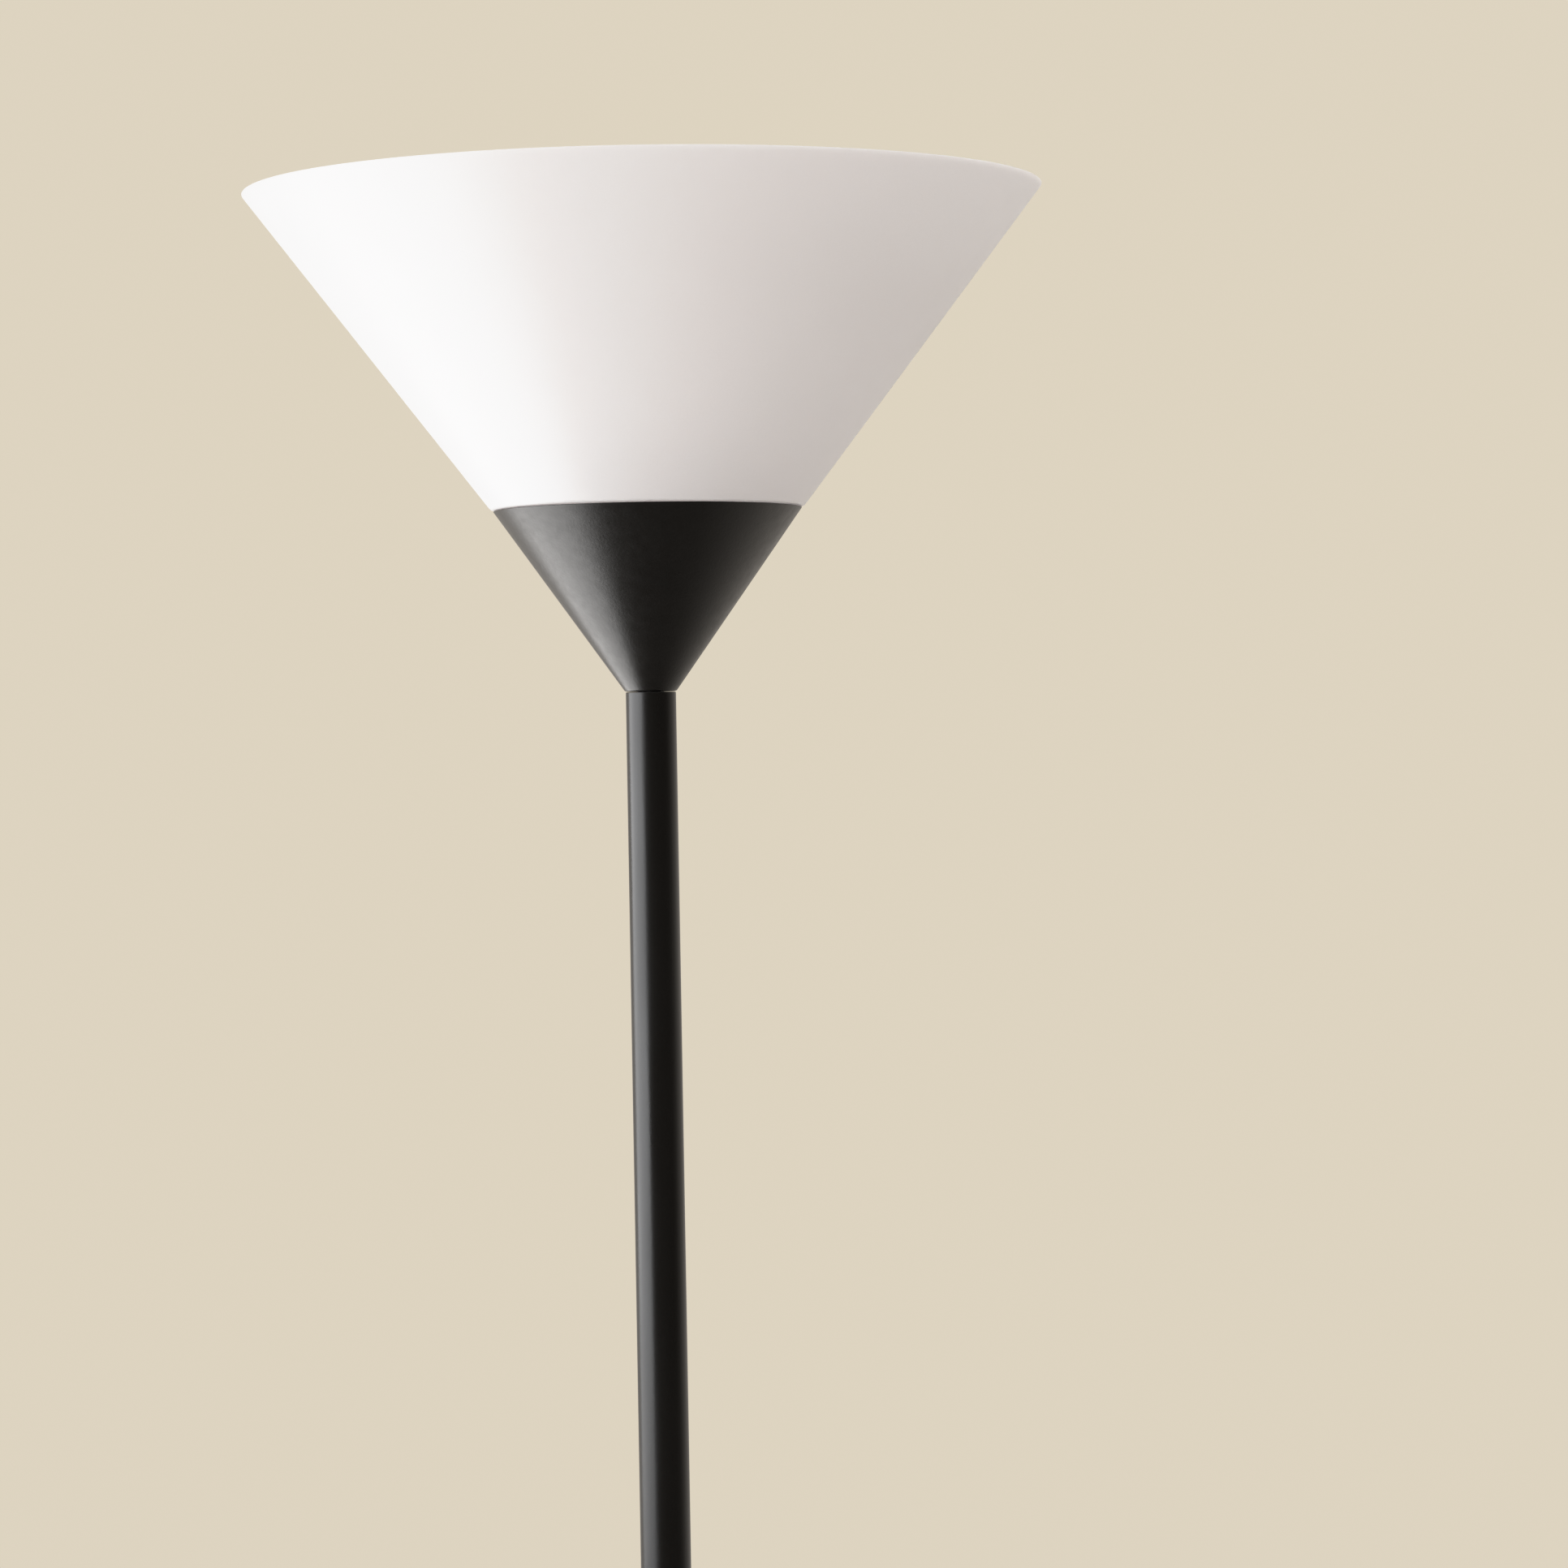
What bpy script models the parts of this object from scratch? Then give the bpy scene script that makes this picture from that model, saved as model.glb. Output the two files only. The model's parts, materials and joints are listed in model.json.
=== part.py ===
"""Torchiere floor lamp: a weighted round base, a pole of four screwed sections with a rotary switch,
and a conical head that holds an E26 lampholder, a bulb and a lift-off shade.

Units are metres and +Z is up. The lamp stands on the floor z = 0 with the pole on the Z axis. The
switch knob faces -Y and the cord gland faces +Y. Each sub-assembly is drawn from a datum, an empty
that stands at a level worked out from the sizes below.
"""

import math

import bmesh
import bpy
from mathutils import Matrix, Vector

# Overall sizes
LAMP_HEIGHT = 1.800
SHADE_RIM_RADIUS = 0.151
SHADE_HEIGHT = 0.120
CUP_RIM_RADIUS = 0.0586
CUP_HEIGHT = 0.0687
POLE_RADIUS = 0.0095
TOP_SECTION_LENGTH = 0.400
LOWER_SECTIONS = 3
BASE_RADIUS = 0.125
BASE_HEIGHT = 0.027

# Clearances
CONTACT_GAP = 0.0003
PRESS_GAP = 0.0002
THREAD_GAP = 0.0002
HOLE_GAP = 0.0003

# Threaded tube that every screwed joint uses, with its nuts and washers
NIPPLE_RADIUS = 0.005
NIPPLE_BORE = 0.0036
JOINT_REACH = 0.010
NUT_ACROSS_FLATS = 0.014
NUT_HEIGHT = 0.0030
WASHER_HEIGHT = 0.0008
WASHER_RADIUS = 0.0078

# Pole
POLE_WALL = 0.0008
BUSH_LENGTH = 0.013
STUD_PLUG_LENGTH = 0.012

# Base
COVER_WALL = 0.0009
BASE_EDGE_HEIGHT = 0.022
BASE_EDGE_FILLET = 0.008
BASE_TOP_FLAT_RADIUS = 0.016
PAD_HEIGHT = 0.003
PAD_RADIUS = 0.011
PAD_INSET = 0.025
PAD_COUNT = 4
COVER_FOOT_LIFT = 0.0006
PLATE_THICKNESS = 0.0012
WEIGHT_INSET = 0.007
WEIGHT_TOP_GAP = 0.0006
WEIGHT_POCKET_RADIUS = 0.018
WEIGHT_POCKET_HEIGHT = 0.0068
BASE_NUT_HEIGHT = 0.0042
BASE_WASHER_HEIGHT = 0.0014
BASE_WASHER_RADIUS = 0.014
CORD_CHANNEL_WIDTH = 0.009
GLAND_BORE = 0.0034
GLAND_NECK_RADIUS = 0.0041
GLAND_FLANGE_RADIUS = 0.0054
GLAND_FLANGE_THICKNESS = 0.0014
GLAND_HEIGHT_ABOVE_FOOT = 0.0055

# Switch between the top section and the three lower ones
FRAME_HEIGHT = 0.048
FRAME_THICKNESS = 0.0015
FRAME_HALF_WIDTH = 0.0078
FRAME_STRAP_Y = 0.0095
FRAME_NUT_HEIGHT = 0.0035
FRAME_NIPPLE_TAIL = 0.001
CASE_RADIUS = 0.0165
CASE_WALL = 0.0020
CASE_LAP = 0.008
CASE_END_FILLET = 0.004
POST_RADIUS = 0.0028
POST_INSET = 0.0031
CASE_SCREW_RADIUS = 0.0010
CASE_SCREW_HEAD_RADIUS = 0.0019
CASE_SCREW_HEAD_HEIGHT = 0.0014
CASE_SCREW_REACH = 0.006
CASE_SCREW_SEAT_Y = 0.0060
BOSS_RADIUS = 0.009
BOSS_STAND = 0.0010
SWITCH_BODY_WIDTH = 0.0150
SWITCH_BODY_HEIGHT = 0.0190
SWITCH_BODY_DEPTH = 0.0150
SWITCH_BODY_FRONT_Y = -0.0104
SWITCH_CAVITY_RADIUS = 0.0060
SWITCH_CAVITY_DEPTH = 0.0105
BUSHING_RADIUS = 0.0043
BUSHING_BORE = 0.0026
BUSHING_STAND = 0.0052
RING_NUT_RADIUS = 0.0070
RING_NUT_THICKNESS = 0.0022
SHAFT_RADIUS = 0.0023
ROTOR_RADIUS = 0.0048
ROTOR_THICKNESS = 0.0050
KNOB_RADIUS = 0.0098
KNOB_LENGTH = 0.0145
KNOB_GAP = 0.0006
KNOB_FLUTES = 12
KNOB_FLUTE_DEPTH = 0.0005
KNOB_GRIP_DEPTH = 0.0075
TERMINAL_X = 0.0035
TERMINAL_WIDTH = 0.0030
TERMINAL_THICKNESS = 0.0006
TERMINAL_STAND = 0.0008
TERMINAL_HEIGHT = 0.0120

# Cup
CUP_WALL = 0.0010
CUP_FLOOR = 0.0012
CUP_FOOT_LIP = 0.0002

# Lampholder
HOLDER_WALL = 0.0020
HOLDER_SPIGOT_WALL = 0.0015
HOLDER_NECK_RADIUS = 0.0076
HOLDER_CUP_CLEARANCE = 0.0020
HOLDER_DOME_HEIGHT = 0.011
HOLDER_DOME_RISE = 0.006
HOLDER_SKIRT_HEIGHT = 0.007
HOLDER_SPIGOT_DEPTH = 0.0045
HOLDER_BODY_HEIGHT = 0.029
HOLDER_BODY_TAPER = 0.0010
INSERT_HEIGHT = 0.009
INSERT_BORE = 0.0032
HOLDER_LEDGE = 0.0013
HOLDER_LIP_CLEARANCE = 0.0005
SHELL_WALL = 0.0007
SHELL_FLANGE_THICKNESS = 0.0006
SHELL_FLANGE_BORE = 0.0095
SHELL_HEIGHT = 0.0212
TERMINAL_SCREW_X = 0.0095
TERMINAL_SCREW_HEAD_RADIUS = 0.0026
TERMINAL_SCREW_HEAD_HEIGHT = 0.0018
TONGUE_THICKNESS = 0.0005
TONGUE_WIDTH = 0.0050
TONGUE_ROOT_X = -0.0086
TONGUE_HINGE_X = -0.0066
TONGUE_TIP_X = 0.0026
TONGUE_RISE = 0.0011
RIVET_RADIUS = 0.0006
RIVET_HEAD_RADIUS = 0.0011
RIVET_REACH = 0.0035

# E26 thread: seven turns to the inch, and rounded
THREAD_PITCH = 0.0254 / 7
THREAD_DEPTH = 0.00040
CAP_THREAD_RADIUS = 0.01266
SHELL_THREAD_CLEARANCE = 0.00042
THREAD_STEPS_PER_TURN = 5
THREAD_FADE = 0.0012

# Bulb, measured up from the tip of its contact
BULB_RADIUS = 0.030
BULB_LENGTH = 0.109
BULB_SHOULDER = 0.025
BULB_SHOULDER_STEP = 0.0011
BULB_JOINT_BELOW_CENTRE = 0.017
BULB_WALL = 0.0015
BULB_TIP_RADIUS = 0.0045
BULB_TIP_HEIGHT = 0.0016
BULB_INSULATOR_TOP = 0.0050
BULB_INSULATOR_INSET = 0.0012
BULB_CAP_WALL = 0.0008
BULB_NECK_DEPTH = 0.016
LED_PLATE_THICKNESS = 0.0015
LED_LEDGE = 0.0015

# Shade
SHADE_WALL = 0.0020
SHADE_OVERHANG = 0.0007
SHADE_FOOT_RADIUS = 0.0012
SPIGOT_DEPTH = 0.014
SPIGOT_CLEARANCE = 0.0018

# Wires from the switch to the lampholder
LEAD_RADIUS = 0.0010
LEAD_SPACING = 0.0015
LEAD_WANDER = 0.0022

# Sides of the round pieces
SIDES_LARGE = 40
SIDES_MEDIUM = 20
SIDES_SMALL = 16
SIDES_THREAD = 20
SIDES_TINY = 12

# Levels, from the top of the lamp down and from the floor up
CUP_RIM_Z = LAMP_HEIGHT - SHADE_HEIGHT - CONTACT_GAP
CUP_FOOT_Z = CUP_RIM_Z - CUP_HEIGHT
FRAME_TOP_Z = CUP_FOOT_Z - TOP_SECTION_LENGTH - 2 * CONTACT_GAP
SWITCH_Z = FRAME_TOP_Z - FRAME_HEIGHT / 2
LOWER_POLE_SPAN = FRAME_TOP_Z - FRAME_HEIGHT - BASE_HEIGHT
LOWER_SECTION_LENGTH = (LOWER_POLE_SPAN - (LOWER_SECTIONS + 1) * CONTACT_GAP) / LOWER_SECTIONS
COVER_FOOT_Z = PAD_HEIGHT + COVER_FOOT_LIFT
PLATE_Z = PAD_HEIGHT + CONTACT_GAP
WEIGHT_Z = PLATE_Z + PLATE_THICKNESS + CONTACT_GAP
POCKET_TOP_Z = WEIGHT_Z + WEIGHT_POCKET_HEIGHT
GLAND_Z = COVER_FOOT_Z + GLAND_HEIGHT_ABOVE_FOOT

# The cup's cone, with heights measured up from its foot
CUP_FOOT_RADIUS = POLE_RADIUS + CUP_FOOT_LIP
CUP_SLOPE = (CUP_RIM_RADIUS - CUP_FOOT_RADIUS) / CUP_HEIGHT
CUP_WALL_ACROSS = CUP_WALL * math.hypot(1, CUP_SLOPE)

# The lampholder, from its thread outwards
SHELL_THREAD_RADIUS = CAP_THREAD_RADIUS + SHELL_THREAD_CLEARANCE
SHELL_RADIUS = SHELL_THREAD_RADIUS + THREAD_DEPTH + SHELL_WALL
HOLDER_MOUTH = SHELL_RADIUS + CONTACT_GAP
HOLDER_BORE = HOLDER_MOUTH + HOLDER_SPIGOT_WALL + THREAD_GAP
HOLDER_RADIUS = HOLDER_BORE + HOLDER_WALL

# The head's stack above the cup's foot
WASHER_LEVEL = CUP_FLOOR + CONTACT_GAP
NUT_LEVEL = WASHER_LEVEL + WASHER_HEIGHT + CONTACT_GAP
HOLDER_LEVEL = NUT_LEVEL + NUT_HEIGHT + CONTACT_GAP
HOLDER_CLEAR_LEVEL = (
    HOLDER_RADIUS + HOLDER_CUP_CLEARANCE - CUP_FOOT_RADIUS + CUP_WALL_ACROSS
) / CUP_SLOPE
HOLDER_SHOULDER_LEVEL = HOLDER_CLEAR_LEVEL + HOLDER_DOME_RISE
HOLDER_NECK_LEVEL = HOLDER_SHOULDER_LEVEL - HOLDER_DOME_HEIGHT
HOLDER_JOINT_LEVEL = HOLDER_SHOULDER_LEVEL + HOLDER_SKIRT_HEIGHT
INSERT_LEVEL = HOLDER_JOINT_LEVEL - HOLDER_SPIGOT_DEPTH
INSERT_TOP_LEVEL = INSERT_LEVEL + INSERT_HEIGHT
SHELL_LEVEL = INSERT_TOP_LEVEL + CONTACT_GAP
TONGUE_LEVEL = INSERT_TOP_LEVEL + CONTACT_GAP
BULB_LEVEL = TONGUE_LEVEL + TONGUE_THICKNESS + TONGUE_RISE + CONTACT_GAP
HEAD_NIPPLE_TOP_LEVEL = HOLDER_NECK_LEVEL

# The switch, with depths measured from the pole's axis towards the knob
CASE_BORE = CASE_RADIUS - CASE_WALL
CASE_HALF_HEIGHT = FRAME_HEIGHT / 2 + CASE_LAP
POST_X = CASE_BORE - POST_INSET
BOSS_FACE_Y = -(CASE_RADIUS + BOSS_STAND)
BOSS_BACK_Y = SWITCH_BODY_FRONT_Y - CONTACT_GAP
BUSHING_END_Y = BOSS_FACE_Y - BUSHING_STAND
SWITCH_BODY_BACK_Y = SWITCH_BODY_FRONT_Y + SWITCH_BODY_DEPTH
ROTOR_FRONT_Y = SWITCH_BODY_BACK_Y - SWITCH_CAVITY_DEPTH + CONTACT_GAP
ROTOR_BACK_Y = ROTOR_FRONT_Y + ROTOR_THICKNESS
KNOB_BACK_Y = BOSS_FACE_Y - KNOB_GAP

MATERIALS = {}


def material(name, colour, roughness, metallic=0.0):
    """A Principled material, made once for each name."""
    if name not in MATERIALS:
        made = bpy.data.materials.new(name)
        made.use_nodes = True
        shader = made.node_tree.nodes["Principled BSDF"]
        shader.inputs["Base Color"].default_value = (*colour, 1.0)
        shader.inputs["Roughness"].default_value = roughness
        shader.inputs["Metallic"].default_value = metallic
        MATERIALS[name] = made
    return MATERIALS[name]


def black_paint():
    return material("black_paint", (0.018, 0.017, 0.016), 0.42)


def black_plastic():
    return material("black_plastic", (0.020, 0.020, 0.020), 0.5)


def opal_plastic():
    return material("opal_plastic", (0.88, 0.88, 0.88), 0.35)


def white_plastic():
    return material("white_plastic", (0.80, 0.80, 0.79), 0.4)


def zinc():
    return material("zinc", (0.55, 0.56, 0.58), 0.35, 1.0)


def brass():
    return material("brass", (0.72, 0.52, 0.22), 0.3, 1.0)


def nickel():
    return material("nickel", (0.62, 0.60, 0.56), 0.25, 1.0)


def porcelain():
    return material("porcelain", (0.82, 0.80, 0.75), 0.3)


def concrete():
    return material("concrete", (0.36, 0.35, 0.33), 0.9)


def rubber():
    return material("rubber", (0.025, 0.025, 0.025), 0.8)


def brown_sleeve():
    return material("brown_sleeve", (0.16, 0.07, 0.03), 0.5)


def white_sleeve():
    return material("white_sleeve", (0.7, 0.7, 0.68), 0.5)


def datum(name, z, x=0.0, y=0.0):
    """An empty that a sub-assembly's pieces are drawn from."""
    empty = bpy.data.objects.new(name, None)
    empty.location = (x, y, z)
    bpy.context.scene.collection.objects.link(empty)
    return empty


def piece(name, mesh_builder, finish, parent):
    """The object whose mesh mesh_builder draws, smooth shaded with sharp edges kept."""
    work = bmesh.new()
    mesh_builder(work)
    bmesh.ops.recalc_face_normals(work, faces=work.faces)
    mesh = bpy.data.meshes.new(name)
    work.to_mesh(mesh)
    work.free()
    mesh.shade_smooth()
    mesh.set_sharp_from_angle(angle=math.radians(35))
    mesh.materials.append(finish)
    made = bpy.data.objects.new(name, mesh)
    made.parent = parent
    bpy.context.scene.collection.objects.link(made)
    return made


def spin_profile(work, profile, sides, axis="Z"):
    """Turns a section of (radius, height) points round the axis. A section that starts and ends on the
    axis stays open there, and any other is closed. Axis -Y turns heights towards the knob."""
    corners = [work.verts.new((radius, 0, height)) for radius, height in profile]
    edges = [work.edges.new(pair) for pair in zip(corners, corners[1:])]
    on_axis = profile[0][0] == 0 and profile[-1][0] == 0
    if not on_axis:
        edges.append(work.edges.new((corners[-1], corners[0])))
    bmesh.ops.spin(
        work,
        geom=corners + edges,
        cent=(0, 0, 0),
        axis=(0, 0, 1),
        angle=math.tau,
        steps=sides,
        use_merge=True,
    )
    bmesh.ops.remove_doubles(work, verts=work.verts, dist=1e-7)
    if axis == "-Y":
        bmesh.ops.rotate(work, verts=work.verts, matrix=Matrix.Rotation(math.pi / 2, 3, "X"))


def turned(name, profile, finish, parent, sides=SIDES_SMALL, axis="Z"):
    """A turned piece."""
    return piece(name, lambda work: spin_profile(work, profile, sides, axis), finish, parent)


def ring(name, bore, radius, low, high, finish, parent, sides=SIDES_SMALL, axis="Z", chamfer=0.0):
    """A plain turned ring, with its outer edges chamfered."""
    section = [
        (bore, low),
        (radius - chamfer, low),
        (radius, low + chamfer),
        (radius, high - chamfer),
        (radius - chamfer, high),
        (bore, high),
    ]
    if chamfer == 0:
        section = [(bore, low), (radius, low), (radius, high), (bore, high)]
    return turned(name, section, finish, parent, sides, axis)


def disc_section(radius, low, high, chamfer):
    """The section of a solid turned plug."""
    return [
        (0, low),
        (radius - chamfer, low),
        (radius, low + chamfer),
        (radius, high - chamfer),
        (radius - chamfer, high),
        (0, high),
    ]


def arc(centre_radius, centre_height, radius, start, end, steps):
    """Points of a fillet in a section. Angles are in degrees from the outward direction."""
    angles = [math.radians(start + (end - start) * i / steps) for i in range(steps + 1)]
    return [(centre_radius + radius * math.cos(a), centre_height + radius * math.sin(a)) for a in angles]


def block(name, low, high, finish, parent, bevel=0.0):
    """A box between two corners, with its edges bevelled."""

    def draw(work):
        size = Vector(high) - Vector(low)
        middle = (Vector(high) + Vector(low)) / 2
        place = Matrix.Translation(middle) @ Matrix.Diagonal((*size, 1))
        bmesh.ops.create_cube(work, size=1.0, matrix=place)
        if bevel:
            bmesh.ops.bevel(work, geom=work.edges[:], offset=bevel, segments=1, profile=0.5, affect="EDGES")

    return piece(name, draw, finish, parent)


def extruded(name, outline, axis_from, axis_to, finish, parent):
    """A section of (y, z) or (x, z) points pushed along the third axis: X for "x", Y for "y"."""
    along, start = axis_from
    reach = axis_to - start

    def draw(work):
        if along == "x":
            corners = [work.verts.new((start, a, b)) for a, b in outline]
            push = (reach, 0, 0)
        else:
            corners = [work.verts.new((a, start, b)) for a, b in outline]
            push = (0, reach, 0)
        face = work.faces.new(corners)
        grown = bmesh.ops.extrude_face_region(work, geom=[face])
        moved = [g for g in grown["geom"] if isinstance(g, bmesh.types.BMVert)]
        bmesh.ops.translate(work, verts=moved, vec=push)

    return piece(name, draw, finish, parent)


def helper_cylinder(radius, low, high, parent, axis="Z", at=(0, 0, 0), sides=SIDES_SMALL):
    """A hidden cylinder that a Boolean adds or takes away."""
    profile = [(0, low), (radius, low), (radius, high), (0, high)]
    made = turned("helper", profile, rubber(), parent, sides, axis)
    made.location = at
    return hidden(made)


def helper_block(low, high, parent):
    """A hidden box that a Boolean adds or takes away."""
    return hidden(block("helper", low, high, rubber(), parent))


def hidden(helper):
    helper.hide_render = True
    helper.display_type = "WIRE"
    return helper


def combine(target, helper, operation):
    """Adds the helper to the target (UNION) or takes it away (DIFFERENCE)."""
    step = target.modifiers.new(operation.lower(), "BOOLEAN")
    step.operation = operation
    step.solver = "EXACT"
    step.object = helper


def hex_nut(name, across_flats, bore, low, high, finish, parent):
    """A hexagon nut with chamfered corners on the Z axis."""
    corner = across_flats / math.sqrt(3)
    chamfer = corner - across_flats / 2
    section = disc_section(corner, low, high, chamfer * 0.6)
    nut = turned(name, section, finish, parent, 6)
    combine(nut, helper_cylinder(bore, low - 0.001, high + 0.001, parent), "DIFFERENCE")
    return nut


def thread_offset(angle, level, first, last, side):
    """How far a right-hand rounded thread stands out at an angle and level. Within THREAD_FADE of its two
    ends it runs out to its crest (side 1, in a shell) or its root (side -1, on a cap)."""
    fade = min(1.0, max(0.0, (level - first) / THREAD_FADE), max(0.0, (last - level) / THREAD_FADE))
    wave = math.cos(math.tau * level / THREAD_PITCH - angle)
    return THREAD_DEPTH * (fade * wave + (1 - fade) * side)


def threaded_section(first, last, radius):
    """Points up a threaded wall, THREAD_STEPS_PER_TURN to a turn."""
    steps = math.ceil((last - first) / THREAD_PITCH * THREAD_STEPS_PER_TURN)
    return [(radius, first + (last - first) * i / steps) for i in range(steps + 1)]


def cut_thread(work, wall_radius, first, last, level_offset, side):
    """Pushes the points of a turned wall in and out to follow the thread. level_offset is the height of
    the piece's datum above the head's, so that two pieces drawn from different datums mesh."""
    for corner in work.verts:
        radius = math.hypot(corner.co.x, corner.co.y)
        if abs(radius - wall_radius) > 1e-6:
            continue
        angle = math.atan2(corner.co.y, corner.co.x)
        level = corner.co.z + level_offset
        ends = first + level_offset, last + level_offset
        grown = radius + thread_offset(angle, level, *ends, side)
        corner.co.x *= grown / radius
        corner.co.y *= grown / radius


# Base ------------------------------------------------------------------------------------------------


def crown_height(radius):
    """Height of the base cover's top surface, a soft crown between the edge fillet and the top flat."""
    edge = BASE_RADIUS - BASE_EDGE_FILLET
    share = min(1.0, max(0.0, (radius - BASE_TOP_FLAT_RADIUS) / (edge - BASE_TOP_FLAT_RADIUS)))
    return BASE_EDGE_HEIGHT + (BASE_HEIGHT - BASE_EDGE_HEIGHT) * (1 + math.cos(math.pi * share)) / 2


def crown_points(drop, inner, outer, steps=4):
    """Points of the crown, lowered by drop, from the inner radius to the outer."""
    radii = [inner + (outer - inner) * i / steps for i in range(steps + 1)]
    return [(r, crown_height(r) - drop) for r in radii]


def make_base_cover(base):
    edge = BASE_RADIUS - BASE_EDGE_FILLET
    fillet_z = BASE_EDGE_HEIGHT - BASE_EDGE_FILLET
    hole = NIPPLE_RADIUS + HOLE_GAP
    top = [(hole, BASE_HEIGHT)] + crown_points(0, BASE_TOP_FLAT_RADIUS, edge)
    outer_edge = arc(edge, fillet_z, BASE_EDGE_FILLET, 90, 0, 3)[1:]
    foot = [(BASE_RADIUS, COVER_FOOT_Z), (BASE_RADIUS - COVER_WALL, COVER_FOOT_Z)]
    inner_edge = arc(edge, fillet_z, BASE_EDGE_FILLET - COVER_WALL, 0, 90, 3)
    under = crown_points(COVER_WALL, BASE_TOP_FLAT_RADIUS, edge)[-2::-1]
    section = top + outer_edge + foot + inner_edge + under + [(hole, BASE_HEIGHT - COVER_WALL)]
    cover = turned("base_cover", section, black_paint(), base, SIDES_LARGE)
    gland_hole = helper_cylinder(
        GLAND_NECK_RADIUS + HOLE_GAP, -0.01, 0.01, base, "-Y", (0, BASE_RADIUS, GLAND_Z), SIDES_TINY
    )
    combine(cover, gland_hole, "DIFFERENCE")


def make_base_weight(base):
    drop = COVER_WALL + WEIGHT_TOP_GAP
    rim = BASE_RADIUS - WEIGHT_INSET
    hole = NIPPLE_RADIUS + HOLE_GAP
    top_at_rim = BASE_EDGE_HEIGHT - drop - BASE_EDGE_FILLET * 0.15
    section = [(hole, POCKET_TOP_Z), (WEIGHT_POCKET_RADIUS, POCKET_TOP_Z), (WEIGHT_POCKET_RADIUS, WEIGHT_Z)]
    section += [(rim, WEIGHT_Z), (rim, top_at_rim)]
    section += crown_points(drop, BASE_TOP_FLAT_RADIUS, rim - 0.006, 3)[::-1] + [(hole, BASE_HEIGHT - drop)]
    weight = turned("base_weight", section, concrete(), base, SIDES_LARGE)
    half = CORD_CHANNEL_WIDTH / 2
    channel = helper_block((-half, 0, WEIGHT_Z - 0.001), (half, BASE_RADIUS, POCKET_TOP_Z), base)
    combine(weight, channel, "DIFFERENCE")


def make_base_fixings(base):
    rim = BASE_RADIUS - WEIGHT_INSET
    plate = disc_section(rim, PLATE_Z, PLATE_Z + PLATE_THICKNESS, 0.0003)
    turned("base_plate", plate, black_plastic(), base, SIDES_LARGE)
    washer_z = POCKET_TOP_Z - CONTACT_GAP - BASE_WASHER_HEIGHT
    nut_z = washer_z - CONTACT_GAP - BASE_NUT_HEIGHT
    bore = NIPPLE_RADIUS + THREAD_GAP
    ring("base_washer", bore, BASE_WASHER_RADIUS, washer_z, washer_z + BASE_WASHER_HEIGHT, zinc(), base)
    hex_nut("base_nut", NUT_ACROSS_FLATS, bore, nut_z, nut_z + BASE_NUT_HEIGHT, zinc(), base)
    nipple("base_nipple", nut_z, BASE_HEIGHT + CONTACT_GAP + JOINT_REACH, base)


def make_foot_pads(base):
    for i in range(PAD_COUNT):
        angle = math.tau * (i + 0.5) / PAD_COUNT
        away = BASE_RADIUS - PAD_INSET
        section = disc_section(PAD_RADIUS, 0, PAD_HEIGHT, 0.0004)
        pad = turned(f"foot_pad_{i + 1}", section, rubber(), base, SIDES_SMALL)
        pad.location = (away * math.cos(angle), away * math.sin(angle), 0)


def make_cord_gland(base):
    """A rubber grommet in the rear of the cover. Its section is turned round Y, heights run to -Y."""
    outer_face = -CONTACT_GAP
    inner_face = COVER_WALL + 2 * CONTACT_GAP
    section = [
        (GLAND_BORE, outer_face - GLAND_FLANGE_THICKNESS),
        (GLAND_FLANGE_RADIUS - 0.0005, outer_face - GLAND_FLANGE_THICKNESS),
        (GLAND_FLANGE_RADIUS, outer_face - GLAND_FLANGE_THICKNESS + 0.0005),
        (GLAND_FLANGE_RADIUS, outer_face),
        (GLAND_NECK_RADIUS, outer_face),
        (GLAND_NECK_RADIUS, inner_face),
        (GLAND_FLANGE_RADIUS, inner_face),
        (GLAND_FLANGE_RADIUS - 0.0005, inner_face + GLAND_FLANGE_THICKNESS),
        (GLAND_BORE, inner_face + GLAND_FLANGE_THICKNESS),
    ]
    gland = turned("cord_gland", section, rubber(), base, SIDES_TINY, "-Y")
    gland.location = (0, BASE_RADIUS, GLAND_Z)


# Pole ------------------------------------------------------------------------------------------------


def nipple(name, low, high, parent):
    """A length of threaded tube."""
    ring(name, NIPPLE_BORE, NIPPLE_RADIUS, low, high, zinc(), parent, SIDES_SMALL, chamfer=0.0004)


def pole_tube(name, length, parent):
    ring(name, POLE_RADIUS - POLE_WALL, POLE_RADIUS, 0, length, black_paint(), parent, SIDES_MEDIUM)


def pole_bush(name, low, parent):
    """The threaded insert pressed into the end of a tube, which a nipple or a stud screws into."""
    radius = POLE_RADIUS - POLE_WALL - PRESS_GAP
    bore = NIPPLE_RADIUS + THREAD_GAP
    ring(name, bore, radius, low, low + BUSH_LENGTH, zinc(), parent, SIDES_MEDIUM)


def pole_stud(name, tube_top, parent):
    """The hollow stud pressed into the top of a lower tube. Its thread stands JOINT_REACH above it."""
    plug = POLE_RADIUS - POLE_WALL - PRESS_GAP
    low = tube_top - STUD_PLUG_LENGTH
    high = tube_top + JOINT_REACH
    section = [(NIPPLE_BORE, low), (plug, low), (plug, tube_top)]
    section += [(NIPPLE_RADIUS, tube_top), (NIPPLE_RADIUS, high - 0.0004), (NIPPLE_RADIUS - 0.0004, high)]
    section += [(NIPPLE_BORE, high)]
    turned(name, section, zinc(), parent, SIDES_MEDIUM)


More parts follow.
